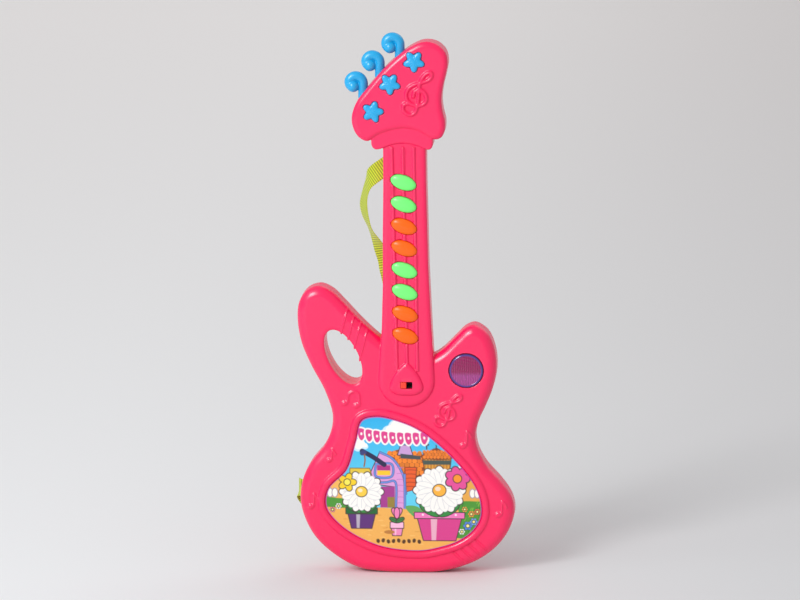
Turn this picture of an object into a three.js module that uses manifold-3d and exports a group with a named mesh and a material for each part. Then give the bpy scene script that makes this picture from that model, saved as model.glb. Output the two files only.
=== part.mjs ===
// Toy electric guitar with a moulded two-part case, note keys, star keys and a webbing strap.
// Millimetres. +Z is up along the neck, -Y is the playing face, +X is to the player's view right.
import * as THREE from 'three';
import { mergeVertices } from 'three/addons/utils/BufferGeometryUtils.js';
import Module from 'manifold-3d';

const wasm = await Module();
wasm.setup();

// ---------------------------------------------------------------- driving dimensions

const WALL = 2.2;
const GAP = 0.35;
const SPLIT = 0.15;
const REACH = 60;

const BODY = { front: -15, back: 19, edge: 8.5 };
const NECK = { front: -17.5, back: 6, edge: 2.2 };
const COLLAR = { front: -19, back: 7.5, edge: 1.5 };
const HEAD = { front: -21, back: 8, edge: 4 };
const HOLLOW_EDGE = 7;

const NOTE = { count: 8, top: 331.1, pitch: 18.4, long: 11, short: 6.15, tilt: -19, proud: 3.6, lean: 0.007 };
const NOTE_TRAVEL = 2;
const KEY_SKIRT = { lip: 1.13, top: 2.5, bottom: 3.7 };
const STAR = { mean: 7.4, wave: 1.65, knob: -0.1, points: 5, proud: 2.2, flange: 1.3 };
const STAR_TRAVEL = 1.5;
const STARS = [
  { x: 9.5, z: 432.6, turn: -90 },
  { x: -10.6, z: 413.8, turn: -88 },
  { x: -24.7, z: 390.5, turn: -69 },
];
const PEG = { tube: 4.1, curl: 6.6, inner: 3, ball: 5, shank: 12, depth: -6, sweep: 236, rise: 0.6 };
const PEGS = [
  { x: -9.8, z: 444.6 },
  { x: -26.4, z: 429.6 },
  { x: -40.4, z: 412.1 },
];
const LENS = { x: 51.2, z: 172.6, radius: 14.4, flange: 15.9, dome: 1.7 };
const LED = { radius: 2.5, flange: 3, y: -5 };
const SWITCH = { x: 1.6, z: 160.6, wide: 10, high: 5.7, knob: 4.7 };
const SWITCH_BODY = { front: -11.6, wide: 17, high: 8.4, deep: 5.4, slot: 3.4 };
const PAD_FACE = NECK.front - 2.3;
const HANDLE = { x: -51.3, z: 183.2, long: 25, short: 12.4, tilt: -63, rim: 2.4 };
const NECK_END = { x: 1.5, wide: 23.3, high: 22.4, z: 164.2 };
const NECK_RIGHT = [[22.7, 205], [20.2, 260], [18.8, 330], [18.5, 380]];
const NECK_LEFT = [[-16.8, 380], [-16.9, 330], [-17.6, 290], [-17.8, 245], [-18.9, 208]];
const GROOVE = { count: 4, wide: 1.1, deep: 0.7 };
const GRIP_GROOVES = { x: -49.2, z: 217.1, stepX: 5.4, stepZ: -6.2, long: 30, tilt: -15 };
const RIM_GROOVES = { x: 44.6, z: 13.8, stepX: 6.4, stepZ: 3.4, long: 11, tilt: 45 };
const STRING = { radius: 1, low: 172, high: 361, lowX: 2.2, highX: -0.5, lowSpacing: 8.5, highSpacing: 9.1 };

const LABEL = { thick: 0.25, recess: 0.6 };
const RIDGE = { inner: 0.9, outer: 6.2, rise: 1.8, edge: 1.6 };

const CELL = { radius: 7.1, length: 49.2, nub: 1.1, nubRadius: 2.7, pitch: 14.7, count: 3, shift: 1.3 };
const BAY = { x: 0, z: 52.5, wide: 59.4, high: 46, floor: 2, wall: 1.7 };
const COVER = { z: 54.8, wide: 66, high: 57, thick: 2, corner: 4, screwZ: 78.8 };
const SPEAKER = { x: 0, z: 113, radius: 24.5, ring: 1.8, ringDepth: 10, magnet: 11.8 };
const GRILLE = { slots: 7, pitch: 5.4, wide: 2.4, radius: 19 };

const BOARD_THICK = 1.6;
const PAD_THICK = 1.6;
const CABLE = { thick: 0.6 };
const MAIN_BOARD = { x: 0, z: 88, wide: 62, high: 42, front: -7.4 };
const SOUND_CHIP = { x: -12, z: 92, wide: 11, high: 11, thick: 1.4 };
const STAR_BOARD = { x: -9, z: 411.9, wide: 55, high: 16 };
const NECK_CABLE = { x: 10, z: 156.7, wide: 8, high: 94, front: -5.4 };
const HEAD_CABLE = { x: 8, z: 370.6, wide: 8, high: 58, front: -8 };

const SCREW = { head: 2.6, shank: 1.2, seat: 3.4, thick: 1.7, tip: -8, boss: 4.1 };
const CASE_SCREWS = [
  { x: -77, z: 213, shell: BODY },
  { x: 60, z: 196, shell: BODY },
  { x: -50, z: 121, shell: BODY },
  { x: 48, z: 126, shell: BODY },
  { x: -70, z: 48, shell: BODY },
  { x: 71, z: 48, shell: BODY },
  { x: 2, z: 13, shell: BODY },
  { x: 0, z: 367, shell: COLLAR },
  { x: 19, z: 397, shell: HEAD },
];

const STRAP = { width: 15, thick: 1.2, steps: 64 };
const SLIT_SPACE = 1.4;
const NECK_SLIT = { x: -17, y: 2.2, z: 341.4, high: 20.6, deep: 8 };
const SIDE_SLIT = { x: -86, y: 8.6, z: 67.5, deep: 9 };
// Centre line of the strap with the direction of its width, from the neck slit to the body slit.
const STRAP_ROUTE = [
  { at: [-11.5, 2.2, 344.8], width: [-0.57, 0, 0.82] },
  { at: [-16.8, 2.2, 341.2], width: [-0.57, 0, 0.82] },
  { at: [-22.6, 3.2, 337], width: [-0.57, 0.12, 0.8] },
  { at: [-27.4, 5.4, 332.6], width: [-0.6, 0.5, 0.62] },
  { at: [-30.8, 8.4, 326.6], width: [-0.42, 0.88, 0.2] },
  { at: [-34, 11.6, 317], width: [-0.38, 0.92, 0] },
  { at: [-35.4, 14, 306], width: [-0.47, 0.88, 0] },
  { at: [-33.8, 15.8, 296], width: [-0.42, 0.9, 0] },
  { at: [-30.4, 17.4, 286.6], width: [-0.3, 0.95, 0] },
  { at: [-26, 18.8, 277.5], width: [-0.55, 0.83, 0] },
  { at: [-21.8, 20.2, 268], width: [-0.8, 0.6, 0] },
  { at: [-17.8, 21.7, 258], width: [-0.92, 0.4, 0] },
  { at: [-14.4, 23.4, 246], width: [-0.95, -0.25, 0] },
  { at: [-11.4, 25, 226], width: [-1, 0, 0] },
  { at: [-10.6, 26.2, 200], width: [-1, 0, -0.05] },
  { at: [-12.6, 27, 172], width: [-1, 0, -0.1] },
  { at: [-18, 27.6, 144], width: [-1, -0.05, -0.2] },
  { at: [-26.4, 28.2, 117], width: [-0.9, -0.35, -0.3] },
  { at: [-36.4, 28.8, 92], width: [-0.65, -0.75, -0.2] },
  { at: [-44.4, 29.4, 69], width: [-0.3, -0.95, -0.1] },
  { at: [-51.4, 29.6, 50], width: [-0.05, -1, 0] },
  { at: [-61, 29.4, 39.5], width: [0, -1, 0] },
  { at: [-71.4, 28.8, 39.5], width: [0, -1, -0.2] },
  { at: [-80, 27.6, 47.5], width: [-0.2, -0.7, -0.7] },
  { at: [-86.4, 25, 57], width: [-0.3, -0.2, -0.95] },
  { at: [-90.2, 20.6, 64], width: [-0.1, 0, -1] },
  { at: [-91, 15.6, 67], width: [0, 0, -1] },
  { at: [-89.6, 9.8, 67.5], width: [0, 0, -1] },
  { at: [-85.5, 8.4, 67.5], width: [0, 0, -1] },
  { at: [-82.5, 8.4, 67.5], width: [0, 0, -1] },
];

const BODY_POINTS = [
  [5, 0], [28, 0.8], [49, 6], [66, 14.5], [79, 26], [87.5, 40], [90.8, 54], [88, 66],
  [79.2, 78.9], [67.8, 91.8], [61, 104], [58.5, 117], [61.5, 130], [67, 142], [73, 157],
  [76.3, 173], [75, 189], [70, 202], [64, 207.8], [57.5, 210.4], [50.4, 208], [43, 201],
  [30, 188.5], [20, 183.5], [0, 186], [-20, 198.5], [-37.2, 214.3], [-50.2, 228.3],
  [-60.3, 238.2], [-70.5, 242.6], [-81, 239.2], [-88, 229], [-89.6, 215], [-86.5, 195],
  [-78, 174.5], [-67.5, 154.5], [-61, 134], [-62, 121], [-68, 107], [-78.5, 94],
  [-86, 79], [-88.3, 62], [-85, 46.5], [-76, 29.5], [-60, 14.5], [-40, 3.6], [-18, 0.3],
];
const COLLAR_POINTS = [
  [-23.4, 358.8], [-19, 359.1], [-10, 362.4], [0, 363.9], [10, 362.4], [17.6, 359.4], [21.8, 358.6],
  [24.2, 361.2], [24.6, 368], [23.6, 380], [0, 384], [-25.4, 380], [-26.4, 368], [-26, 361.4],
];
const HEAD_POINTS = [
  [-29.6, 365.6], [-20, 371], [-8, 375], [2, 376], [12, 374], [20, 369.6], [25.5, 367.2],
  [31, 368.4], [34.2, 373.4], [34.9, 382], [32.9, 391], [32, 400], [33.2, 411], [35.9, 422.4],
  [37.3, 431.6], [35.2, 440.4], [27.6, 447.2], [17.2, 448.6], [6.4, 444.2], [-5.2, 435.6], [-17.2, 424.2],
  [-29.2, 410.2], [-39, 397], [-42.6, 384.5], [-40.6, 374.6], [-36.2, 368.4],
];
const LABEL_POINTS = [
  [11.2, 19.4], [28.7, 22.4], [43.9, 27.7], [56.8, 37.2], [63.4, 50], [60.5, 70.4],
  [41.9, 96.5], [14.1, 120.7], [-5.7, 129.7], [-24.4, 133.2], [-36.1, 129.7], [-41.4, 111.9],
  [-49.2, 88.1], [-64.4, 71.5], [-66.2, 56.2], [-52.9, 39.5], [-22.7, 23.6],
];
const PAD_POINTS = [
  [1.6, 152], [10.1, 152.8], [15.3, 157], [13.7, 165], [7.1, 175], [1.6, 179.2], [-3.9, 175],
  [-10.5, 165], [-12.1, 157], [-6.9, 152.8],
];

// ---------------------------------------------------------------- materials

const paint = (color, roughness, metalness = 0) =>
  new THREE.MeshStandardMaterial({ color, roughness, metalness });
const pink = paint(0xfc3e6e, 0.32);
const green = paint(0x7dff78, 0.25);
const orange = paint(0xff7a14, 0.25);
const blue = paint(0x3cb4fa, 0.3);
const purple = paint(0x8c286e, 0.15);
const red = paint(0xff3c14, 0.4);
const webbing = paint(0xc3d73c, 0.9);
const paper = paint(0x5ab4e6, 0.35);
const board = paint(0x2f7a3c, 0.5);
const rubber = paint(0x9a9a98, 0.8);
const steel = paint(0xb9bcc0, 0.35, 1);
const black = paint(0x202224, 0.6);
const jacket = paint(0x2f6f8f, 0.4);
const clear = paint(0xf4f4ec, 0.1);

// ---------------------------------------------------------------- shape helpers

function toSolid(geometry) {
  const bare = geometry.clone();
  bare.deleteAttribute('normal');
  bare.deleteAttribute('uv');
  const welded = mergeVertices(bare, 1e-4);
  const vertProperties = new Float32Array(welded.attributes.position.array);
  const triVerts = new Uint32Array(welded.index.array);
  return new wasm.Manifold(new wasm.Mesh({ numProp: 3, vertProperties, triVerts }));
}

function toGeometry(solid) {
  const { vertProperties, triVerts } = solid.getMesh();
  const geometry = new THREE.BufferGeometry();
  geometry.setAttribute('position', new THREE.BufferAttribute(vertProperties, 3));
  geometry.setIndex(new THREE.BufferAttribute(triVerts, 1));
  geometry.computeVertexNormals();
  return geometry;
}

// A closed smooth outline through hand-set [x, z] points, counter-clockwise.
function smoothLoop(points, count) {
  const knots = points.map(([x, z]) => new THREE.Vector3(x, z, 0));
  const curve = new THREE.CatmullRomCurve3(knots, true, 'centripetal');
  const samples = curve.getSpacedPoints(count).slice(0, count);
  return samples.map((sample) => new THREE.Vector2(sample.x, sample.y));
}

function ellipseLoop(x, z, long, short, tiltDegrees, count) {
  const curve = new THREE.EllipseCurve(x, z, long, short, 0, 2 * Math.PI, false,
    THREE.MathUtils.degToRad(tiltDegrees));
  return curve.getPoints(count).slice(0, count);
}

// Moves every point of a counter-clockwise outline along its outward normal.
function offsetLoop(loop, distance) {
  return loop.map((point, i) => {
    const along = loop[(i + 1) % loop.length].clone().sub(loop.at(i - 1)).normalize();
    return new THREE.Vector2(point.x + along.y * distance, point.y - along.x * distance);
  });
}

// A plate with the given outline in X and Z, from y = front to y = back, edges rounded by bevel.
function plate(loop, front, back, { bevel = 0, steps = 2, hole = null } = {}) {
  const shape = new THREE.Shape(loop);
  if (hole) shape.holes.push(new THREE.Path(hole));
  const geometry = new THREE.ExtrudeGeometry(shape, {
    depth: back - front - 2 * bevel,
    bevelEnabled: bevel > 0,
    bevelThickness: bevel,
    bevelSize: bevel,
    bevelOffset: -bevel,
    bevelSegments: steps,
  });
  geometry.rotateX(Math.PI / 2);
  geometry.translate(0, back - bevel, 0);
  return toSolid(geometry);
}

function block(x, z, wide, high, front, back, tiltDegrees = 0) {
  const geometry = new THREE.BoxGeometry(wide, back - front, high);
  geometry.rotateY(-THREE.MathUtils.degToRad(tiltDegrees));
  geometry.translate(x, (front + back) / 2, z);
  return toSolid(geometry);
}

// A round pin along Y.
function pin(x, z, radius, front, back, sides = 12) {
  const geometry = new THREE.CylinderGeometry(radius, radius, back - front, sides);
  geometry.translate(x, (front + back) / 2, z);
  return toSolid(geometry);
}

// A turned piece on the Y axis from [radius, y] points given from the front to the back.
function turned(profile, sides) {
  const points = profile.map(([radius, y]) => new THREE.Vector2(radius, y));
  return toSolid(new THREE.LatheGeometry(points, sides));
}

const roundedRect = (x, z, wide, high, corner) => {
  const loop = [];
  const corners = [[1, -1, -90], [1, 1, 0], [-1, 1, 90], [-1, -1, 180]];
  for (const [sideX, sideZ, start] of corners) {
    const middle = new THREE.Vector2(x + sideX * (wide / 2 - corner), z + sideZ * (high / 2 - corner));
    for (let step = 0; step <= 3; step += 1) {
      const angle = THREE.MathUtils.degToRad(start + step * 30);
      loop.push(new THREE.Vector2(corner, 0).rotateAround(new THREE.Vector2(), angle).add(middle));
    }
  }
  return loop;
};

const joined = (solids) => solids.reduce((sum, solid) => sum.add(solid));

// ---------------------------------------------------------------- the guitar's group

const model = new THREE.Group();

function add(name, geometry, material, { x = 0, y = 0, z = 0 } = {}) {
  const mesh = new THREE.Mesh(geometry, material);
  mesh.name = name;
  mesh.position.set(x, y, z);
  model.add(mesh);
  return mesh;
}

// ---------------------------------------------------------------- outlines

const bodyLoop = smoothLoop(BODY_POINTS, 84);
const collarLoop = smoothLoop(COLLAR_POINTS, 30);
const headLoop = smoothLoop(HEAD_POINTS, 52);
const labelLoop = smoothLoop(LABEL_POINTS, 44);
const padLoop = smoothLoop(PAD_POINTS, 20);
const handleLoop = ellipseLoop(HANDLE.x, HANDLE.z, HANDLE.long, HANDLE.short, HANDLE.tilt, 32);
const coverLoop = roundedRect(0, COVER.z, COVER.wide, COVER.high, COVER.corner);

const neckLoop = (() => {
  const loop = [];
  const steps = 12;
  for (let step = 0; step <= steps; step += 1) {
    const angle = Math.PI + (step * Math.PI) / steps;
    const across = NECK_END.x + NECK_END.wide * Math.cos(angle);
    loop.push(new THREE.Vector2(across, NECK_END.z + NECK_END.high * Math.sin(angle)));
  }
  [...NECK_RIGHT, ...NECK_LEFT].forEach(([x, z]) => loop.push(new THREE.Vector2(x, z)));
  return loop;
})();

const starLoop = (star, grow) => {
  const loop = [];
  const count = 6 * STAR.points;
  for (let step = 0; step < count; step += 1) {
    const angle = (2 * Math.PI * step) / count;
    const phase = STAR.points * (angle - THREE.MathUtils.degToRad(star.turn));
    const radius = STAR.mean + grow + STAR.wave * Math.cos(phase) + STAR.knob * Math.cos(2 * phase);
    loop.push(new THREE.Vector2(star.x + radius * Math.cos(angle), star.z + radius * Math.sin(angle)));
  }
  return loop;
};

// ---------------------------------------------------------------- curled peg

// The peg is a tube that rises from the headstock edge, curls over and ends in a ball.
function pegSolid() {
  const points = [];
  points.push(new THREE.Vector3(PEG.curl, 0, -PEG.shank), new THREE.Vector3(PEG.curl, 0, -PEG.shank / 2));
  const turns = 6;
  const sweep = THREE.MathUtils.degToRad(PEG.sweep);
  for (let step = 0; step <= turns; step += 1) {
    const share = step / turns;
    const radius = THREE.MathUtils.lerp(PEG.curl, PEG.inner, share * share);
    const angle = sweep * share;
    points.push(new THREE.Vector3(radius * Math.cos(angle), -share * PEG.rise, radius * Math.sin(angle)));
  }
  const section = new THREE.Shape(ellipseLoop(0, 0, PEG.tube, PEG.tube, 0, 8));
  const path = new THREE.CatmullRomCurve3(points);
  const tube = new THREE.ExtrudeGeometry(section, { steps: 14, bevelEnabled: false, extrudePath: path });
  const ball = new THREE.SphereGeometry(PEG.ball, 10, 8);
  const tip = points.at(-1);
  ball.translate(tip.x * 0.85, tip.y - 0.8, tip.z * 0.85);
  return toSolid(tube).add(toSolid(ball));
}

// ---------------------------------------------------------------- case

const handleRim = offsetLoop(handleLoop, HANDLE.rim);
const handleCut = joined([
  plate(handleLoop, -REACH, REACH),
  plate(handleRim, BODY.front - 2 * HANDLE.rim, BODY.front + HANDLE.rim, { bevel: HANDLE.rim, steps: 1 }),
  plate(handleRim, BODY.back - HANDLE.rim, BODY.back + 2 * HANDLE.rim, { bevel: HANDLE.rim, steps: 1 }),
]);
const bodyBlock = plate(bodyLoop, BODY.front, BODY.back, { bevel: BODY.edge, steps: 3 }).subtract(handleCut);
const neckBlock = plate(neckLoop, NECK.front, NECK.back, { bevel: NECK.edge });
const collarBlock = plate(collarLoop, COLLAR.front, COLLAR.back, { bevel: COLLAR.edge, steps: 1 });
const headBlock = plate(headLoop, HEAD.front, HEAD.back, { bevel: HEAD.edge });
const padBlock = plate(padLoop, PAD_FACE, NECK.front + 1.5, { bevel: 0.7, steps: 1 });

const bodyHollow = plate(offsetLoop(bodyLoop, -WALL), BODY.front + WALL, BODY.back - WALL, {
  bevel: HOLLOW_EDGE,
}).subtract(plate(offsetLoop(handleLoop, 2 * WALL), BODY.front, BODY.back));
const neckHollow = plate(offsetLoop(neckLoop, -WALL), NECK.front + WALL, NECK.back - WALL);
const headHollow = plate(offsetLoop(headLoop, -WALL), HEAD.front + WALL, HEAD.back - WALL);
const hollow = joined([bodyHollow, neckHollow, headHollow]);

const outerCase = joined([bodyBlock, neckBlock, collarBlock, headBlock, padBlock]);
const hollowCase = outerCase.subtract(hollow);
const caseHalf = (front, back) => block(0, 225, 400, 600, front, back);

const notePlaces = Array.from({ length: NOTE.count }, (_, i) => ({
  x: NOTE.lean * NOTE.pitch * i,
  z: NOTE.top - NOTE.pitch * i,
}));

function makeFrontShell() {
  const ridgeRing = plate(offsetLoop(labelLoop, RIDGE.outer), BODY.front - RIDGE.rise, BODY.front + 1, {
    bevel: RIDGE.edge,
    steps: 1,
    hole: offsetLoop(labelLoop, RIDGE.inner),
  });
  const strings = [-1, 0, 1].map((side) => {
    const lowX = STRING.lowX + side * STRING.lowSpacing;
    const highX = STRING.highX + side * STRING.highSpacing;
    const long = STRING.high - STRING.low;
    const geometry = new THREE.CylinderGeometry(STRING.radius, STRING.radius, long, 6);
    geometry.rotateX(Math.PI / 2);
    geometry.rotateY(Math.atan2(highX - lowX, long));
    geometry.translate((lowX + highX) / 2, NECK.front, (STRING.high + STRING.low) / 2);
    return toSolid(geometry);
  });
  const bosses = CASE_SCREWS.map(({ x, z, shell }) =>
    pin(x, z, SCREW.boss - 0.9, shell.front + WALL - 0.5, -SPLIT, 8));
  const pegHole = new THREE.CylinderGeometry(PEG.tube + GAP, PEG.tube + GAP, PEG.shank + 2, 8);
  pegHole.rotateX(Math.PI / 2);
  const holes = [
    plate(offsetLoop(labelLoop, 0.4), BODY.front - REACH, BODY.front + LABEL.recess),
    block(SWITCH.x, SWITCH.z, SWITCH.wide, SWITCH.high, -REACH, NECK.front + 2 * WALL),
    pin(LENS.x, LENS.z, LENS.radius + GAP, -REACH, BODY.front + 2 * WALL, 24),
    ...notePlaces.map(({ x, z }) => plate(
      ellipseLoop(x, z, NOTE.long + GAP, NOTE.short + GAP, NOTE.tilt, 20), -REACH, NECK.front + 2 * WALL)),
    ...STARS.map((star) => plate(starLoop(star, GAP), -REACH, HEAD.front + 2 * WALL)),
    ...STARS.map((star) => plate(starLoop(star, STAR.flange + GAP), HEAD.front + WALL, HEAD.front + 3 * WALL)),
    ...PEGS.map(({ x, z }) => toSolid(pegHole).translate([x + PEG.curl, PEG.depth, z - PEG.shank / 2])),
    ...CASE_SCREWS.map(({ x, z }) => pin(x, z, SCREW.shank + GAP, SCREW.tip - 1, REACH, 8)),
  ];
  const grooves = [GRIP_GROOVES, RIM_GROOVES].flatMap(({ x, z, stepX, stepZ, long, tilt }) =>
    Array.from({ length: GROOVE.count }, (_, i) =>
      block(x + stepX * i, z + stepZ * i, GROOVE.wide, long, -REACH, BODY.front + GROOVE.deep, tilt)));
  const solid = joined([hollowCase, ridgeRing, ...strings, ...bosses])
    .intersect(caseHalf(-REACH, -SPLIT))
    .subtract(joined([...holes, ...grooves]));
  return toGeometry(solid);
}

const strapGeometry = (wide, thick, steps) => {
  const centres = new THREE.CatmullRomCurve3(STRAP_ROUTE.map(({ at }) => new THREE.Vector3(...at)));
  const widths = new THREE.CatmullRomCurve3(
    STRAP_ROUTE.map(({ width }) => new THREE.Vector3(...width).normalize()));
  const geometry = new THREE.BoxGeometry(wide, thick, 1, 1, 1, steps);
  const places = geometry.attributes.position;
  for (let i = 0; i < places.count; i += 1) {
    const share = places.getZ(i) + 0.5;
    const along = centres.getTangent(share);
    const side = widths.getPoint(share);
    side.addScaledVector(along, -side.dot(along)).normalize();
    const face = along.clone().cross(side);
    const point = centres.getPoint(share);
    point.addScaledVector(side, places.getX(i)).addScaledVector(face, places.getY(i));
    places.setXYZ(i, point.x, point.y, point.z);
  }
  return geometry;
};

function makeBackShell() {
  const bayOuter = block(0, COVER.z, COVER.wide + 2 * BAY.wall, COVER.high + 2 * BAY.wall,
    BAY.floor - BAY.wall, BODY.back - 1);
  const bayInner = block(BAY.x, BAY.z, BAY.wide, BAY.high, BAY.floor, REACH);
  const coverSeat = plate(offsetLoop(coverLoop, GAP), BODY.back - COVER.thick - 0.4, REACH);
  const ringFront = BODY.back - SPEAKER.ringDepth;
  const ringHole = SPEAKER.radius + GAP;
  const speakerRing = pin(SPEAKER.x, SPEAKER.z, ringHole + SPEAKER.ring, ringFront, BODY.back - 1, 24)
    .subtract(pin(SPEAKER.x, SPEAKER.z, ringHole, ringFront - 1, BODY.back - WALL, 24));
  const bosses = CASE_SCREWS.map(({ x, z, shell }) => pin(x, z, SCREW.boss, SPLIT, shell.back - 0.5, 8));
  const grille = Array.from({ length: GRILLE.slots }, (_, i) => {
    const offset = GRILLE.pitch * (i - (GRILLE.slots - 1) / 2);
    const long = 2 * Math.sqrt(GRILLE.radius ** 2 - offset ** 2);
    return block(SPEAKER.x + offset, SPEAKER.z, GRILLE.wide, long, BODY.back - 2 * WALL, REACH);
  });
  const screwHoles = CASE_SCREWS.flatMap(({ x, z, shell }) => [
    pin(x, z, SCREW.shank + GAP, -1, REACH, 8),
    pin(x, z, SCREW.head + GAP, shell.back - SCREW.seat, REACH, 8),
  ]);
  const coverScrewHole = pin(0, COVER.screwZ, SCREW.shank + GAP, 7, REACH, 8);
  const slitWide = STRAP.width + SLIT_SPACE;
  const slitHigh = STRAP.thick + SLIT_SPACE;
  const neckSlit = toSolid(new THREE.BoxGeometry(NECK_SLIT.deep, slitHigh, NECK_SLIT.high)
    .translate(NECK_SLIT.x, NECK_SLIT.y, NECK_SLIT.z));
  const sideSlit = toSolid(new THREE.BoxGeometry(SIDE_SLIT.deep, slitHigh, slitWide)
    .translate(SIDE_SLIT.x, SIDE_SLIT.y, SIDE_SLIT.z));
  const solid = joined([hollowCase, bayOuter, speakerRing, ...bosses])
    .intersect(caseHalf(SPLIT, REACH))
    .subtract(joined([bayInner, coverSeat, ...grille, ...screwHoles, coverScrewHole, neckSlit, sideSlit]));
  return toGeometry(solid);
}

add('front_shell', makeFrontShell(), pink);
add('back_shell', makeBackShell(), pink);

// ---------------------------------------------------------------- keys, lens, label, switch

function noteKeyGeometry() {
  const profile = [[0, -NOTE.proud]];
  for (let step = 1; step <= 3; step += 1) {
    const angle = (step * Math.PI) / 6;
    profile.push([Math.sin(angle), -NOTE.proud * Math.cos(angle) ** 0.8]);
  }
  const { lip, top, bottom } = KEY_SKIRT;
  profile.push([1, top], [lip, top], [lip, bottom], [0, bottom]);
  const solid = turned(profile, 18).scale([NOTE.long, 1, NOTE.short]);
  return toGeometry(solid.rotate([0, -NOTE.tilt, 0]));
}

notePlaces.forEach(({ x, z }, i) => {
  const color = i % 4 < 2 ? green : orange;
  add(`note_button_${i + 1}`, noteKeyGeometry(), color, { x, y: NECK.front, z });
});

STARS.forEach((star, i) => {
  const flangeFront = HEAD.front + WALL + 0.4;
  const face = plate(starLoop(star, 0), HEAD.front - STAR.proud, flangeFront + 0.6, { bevel: 0.9, steps: 1 });
  const flange = plate(starLoop(star, STAR.flange), flangeFront, flangeFront + 1.2);
  add(`star_button_${i + 1}`, toGeometry(face.add(flange)), blue);
});

PEGS.forEach(({ x, z }, i) => {
  add(`tuning_peg_${i + 1}`, toGeometry(pegSolid()), blue, { x, y: PEG.depth, z });
});

const lensProfile = [
  [0, -LENS.dome], [LENS.radius * 0.6, 0.2 - LENS.dome], [LENS.radius - 1, -1.1], [LENS.radius, -0.3],
  [LENS.radius, WALL + 0.3], [LENS.flange, WALL + 0.3], [LENS.flange, WALL + 1.5],
  [LENS.radius - 1, WALL + 1.5], [LENS.radius - 1.6, 0.6], [0, 0.4],
];
add('lamp_lens', toGeometry(turned(lensProfile, 24)), purple, { x: LENS.x, y: BODY.front, z: LENS.z });

const ledProfile = [
  [0, -4], [1.6, -3.5], [LED.radius, -2], [LED.radius, 3.6], [LED.flange, 3.6], [LED.flange, 4.6], [0, 4.6],
];
add('lamp_led', toGeometry(turned(ledProfile, 10)), clear, { x: LENS.x, y: LED.y, z: LENS.z });

const labelFront = BODY.front + LABEL.recess - 0.3 - LABEL.thick;
add('picture_label', toGeometry(plate(labelLoop, labelFront, labelFront + LABEL.thick)), paper);

const { front: switchFront, wide: switchWide, high: switchHigh } = SWITCH_BODY;
const switchBack = switchFront + SWITCH_BODY.deep;
const switchBody = block(SWITCH.x, SWITCH.z, switchWide, switchHigh, switchFront, switchBack)
  .subtract(block(SWITCH.x, SWITCH.z, SWITCH.wide + 0.4, SWITCH_BODY.slot, switchFront - 1, switchFront + 3));
add('switch_body', toGeometry(switchBody), steel);

const knobX = SWITCH.x - SWITCH.wide / 2 + SWITCH.knob / 2 + 0.2;
const switchKnob = block(knobX, SWITCH.z, SWITCH.knob, SWITCH.high - 0.6, PAD_FACE - 0.2, switchFront - 0.4)
  .add(block(knobX, SWITCH.z, SWITCH.knob - 0.6, 2.6, switchFront - 0.6, switchFront + 2.6));
add('switch_knob', toGeometry(switchKnob), red);

// ---------------------------------------------------------------- boards and cables

const noteMiddle = (notePlaces[0].z + notePlaces.at(-1).z) / 2;
const noteSpan = notePlaces[0].z - notePlaces.at(-1).z;
const keyPadFront = NECK.front + KEY_SKIRT.bottom + NOTE_TRAVEL + 0.3;
const box = (name, material, { x, z, wide, high }, front, thick, tilt = 0) =>
  add(name, toGeometry(block(x, z, wide, high, front, front + thick, tilt)), material);

const keyPad = { x: 0, z: noteMiddle, wide: 26, high: noteSpan + 17 };
const keyBoard = { x: 0, z: noteMiddle, wide: 28, high: noteSpan + 19 };
box('key_rubber_pad', rubber, keyPad, keyPadFront, PAD_THICK);
box('key_board', board, keyBoard, keyPadFront + PAD_THICK + 0.3, BOARD_THICK);

const starPadFront = HEAD.front + WALL + 1.6 + STAR_TRAVEL + 0.3;
const starTilt = THREE.MathUtils.radToDeg(Math.atan2(STARS[0].z - STARS[2].z, STARS[0].x - STARS[2].x));
const starPad = { ...STAR_BOARD, wide: STAR_BOARD.wide - 2, high: STAR_BOARD.high - 1 };
box('star_rubber_pad', rubber, starPad, starPadFront, PAD_THICK, starTilt);
box('star_board', board, STAR_BOARD, starPadFront + PAD_THICK + 0.3, BOARD_THICK, starTilt);

const chipFront = MAIN_BOARD.front - SOUND_CHIP.thick - 0.3;
box('main_board', board, MAIN_BOARD, MAIN_BOARD.front, BOARD_THICK);
box('sound_chip', black, SOUND_CHIP, chipFront, SOUND_CHIP.thick);
box('neck_cable', rubber, NECK_CABLE, NECK_CABLE.front, CABLE.thick);
box('head_cable', rubber, HEAD_CABLE, HEAD_CABLE.front, CABLE.thick);

// ---------------------------------------------------------------- loudspeaker

const speakerBack = BODY.back - WALL - 0.3;
const rim = SPEAKER.radius;
const speaker = { x: SPEAKER.x, y: speakerBack, z: SPEAKER.z };
const frameProfile = [
  [12.3, -9.5], [rim - 4.5, -4], [rim, -3.4], [rim, 0], [rim - 2.4, 0], [rim - 2.4, -2.2],
  [rim - 5.2, -2.4], [12.3, -8],
];
add('speaker_frame', toGeometry(turned([...frameProfile, frameProfile[0]], 24)), steel, speaker);
const coneProfile = [
  [0, -6.8], [6, -6.4], [rim - 6, -1.9], [rim - 2.8, -1.7], [rim - 2.8, -1], [rim - 6, -1.2],
  [6, -5.4], [0, -5.8],
];
add('speaker_cone', toGeometry(turned(coneProfile, 24)), black, speaker);
const magnetProfile = [[0, -15.6], [SPEAKER.magnet, -15.6], [SPEAKER.magnet, -8.9], [0, -8.9]];
add('speaker_magnet', toGeometry(turned(magnetProfile, 20)), steel, speaker);

// ---------------------------------------------------------------- battery bay

const cellY = BAY.floor + 0.4 + CELL.radius;
const cellZ = (i) => BAY.z + (i - 1) * CELL.pitch;
const facing = (i) => (i % 2 === 0 ? 1 : -1);

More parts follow.
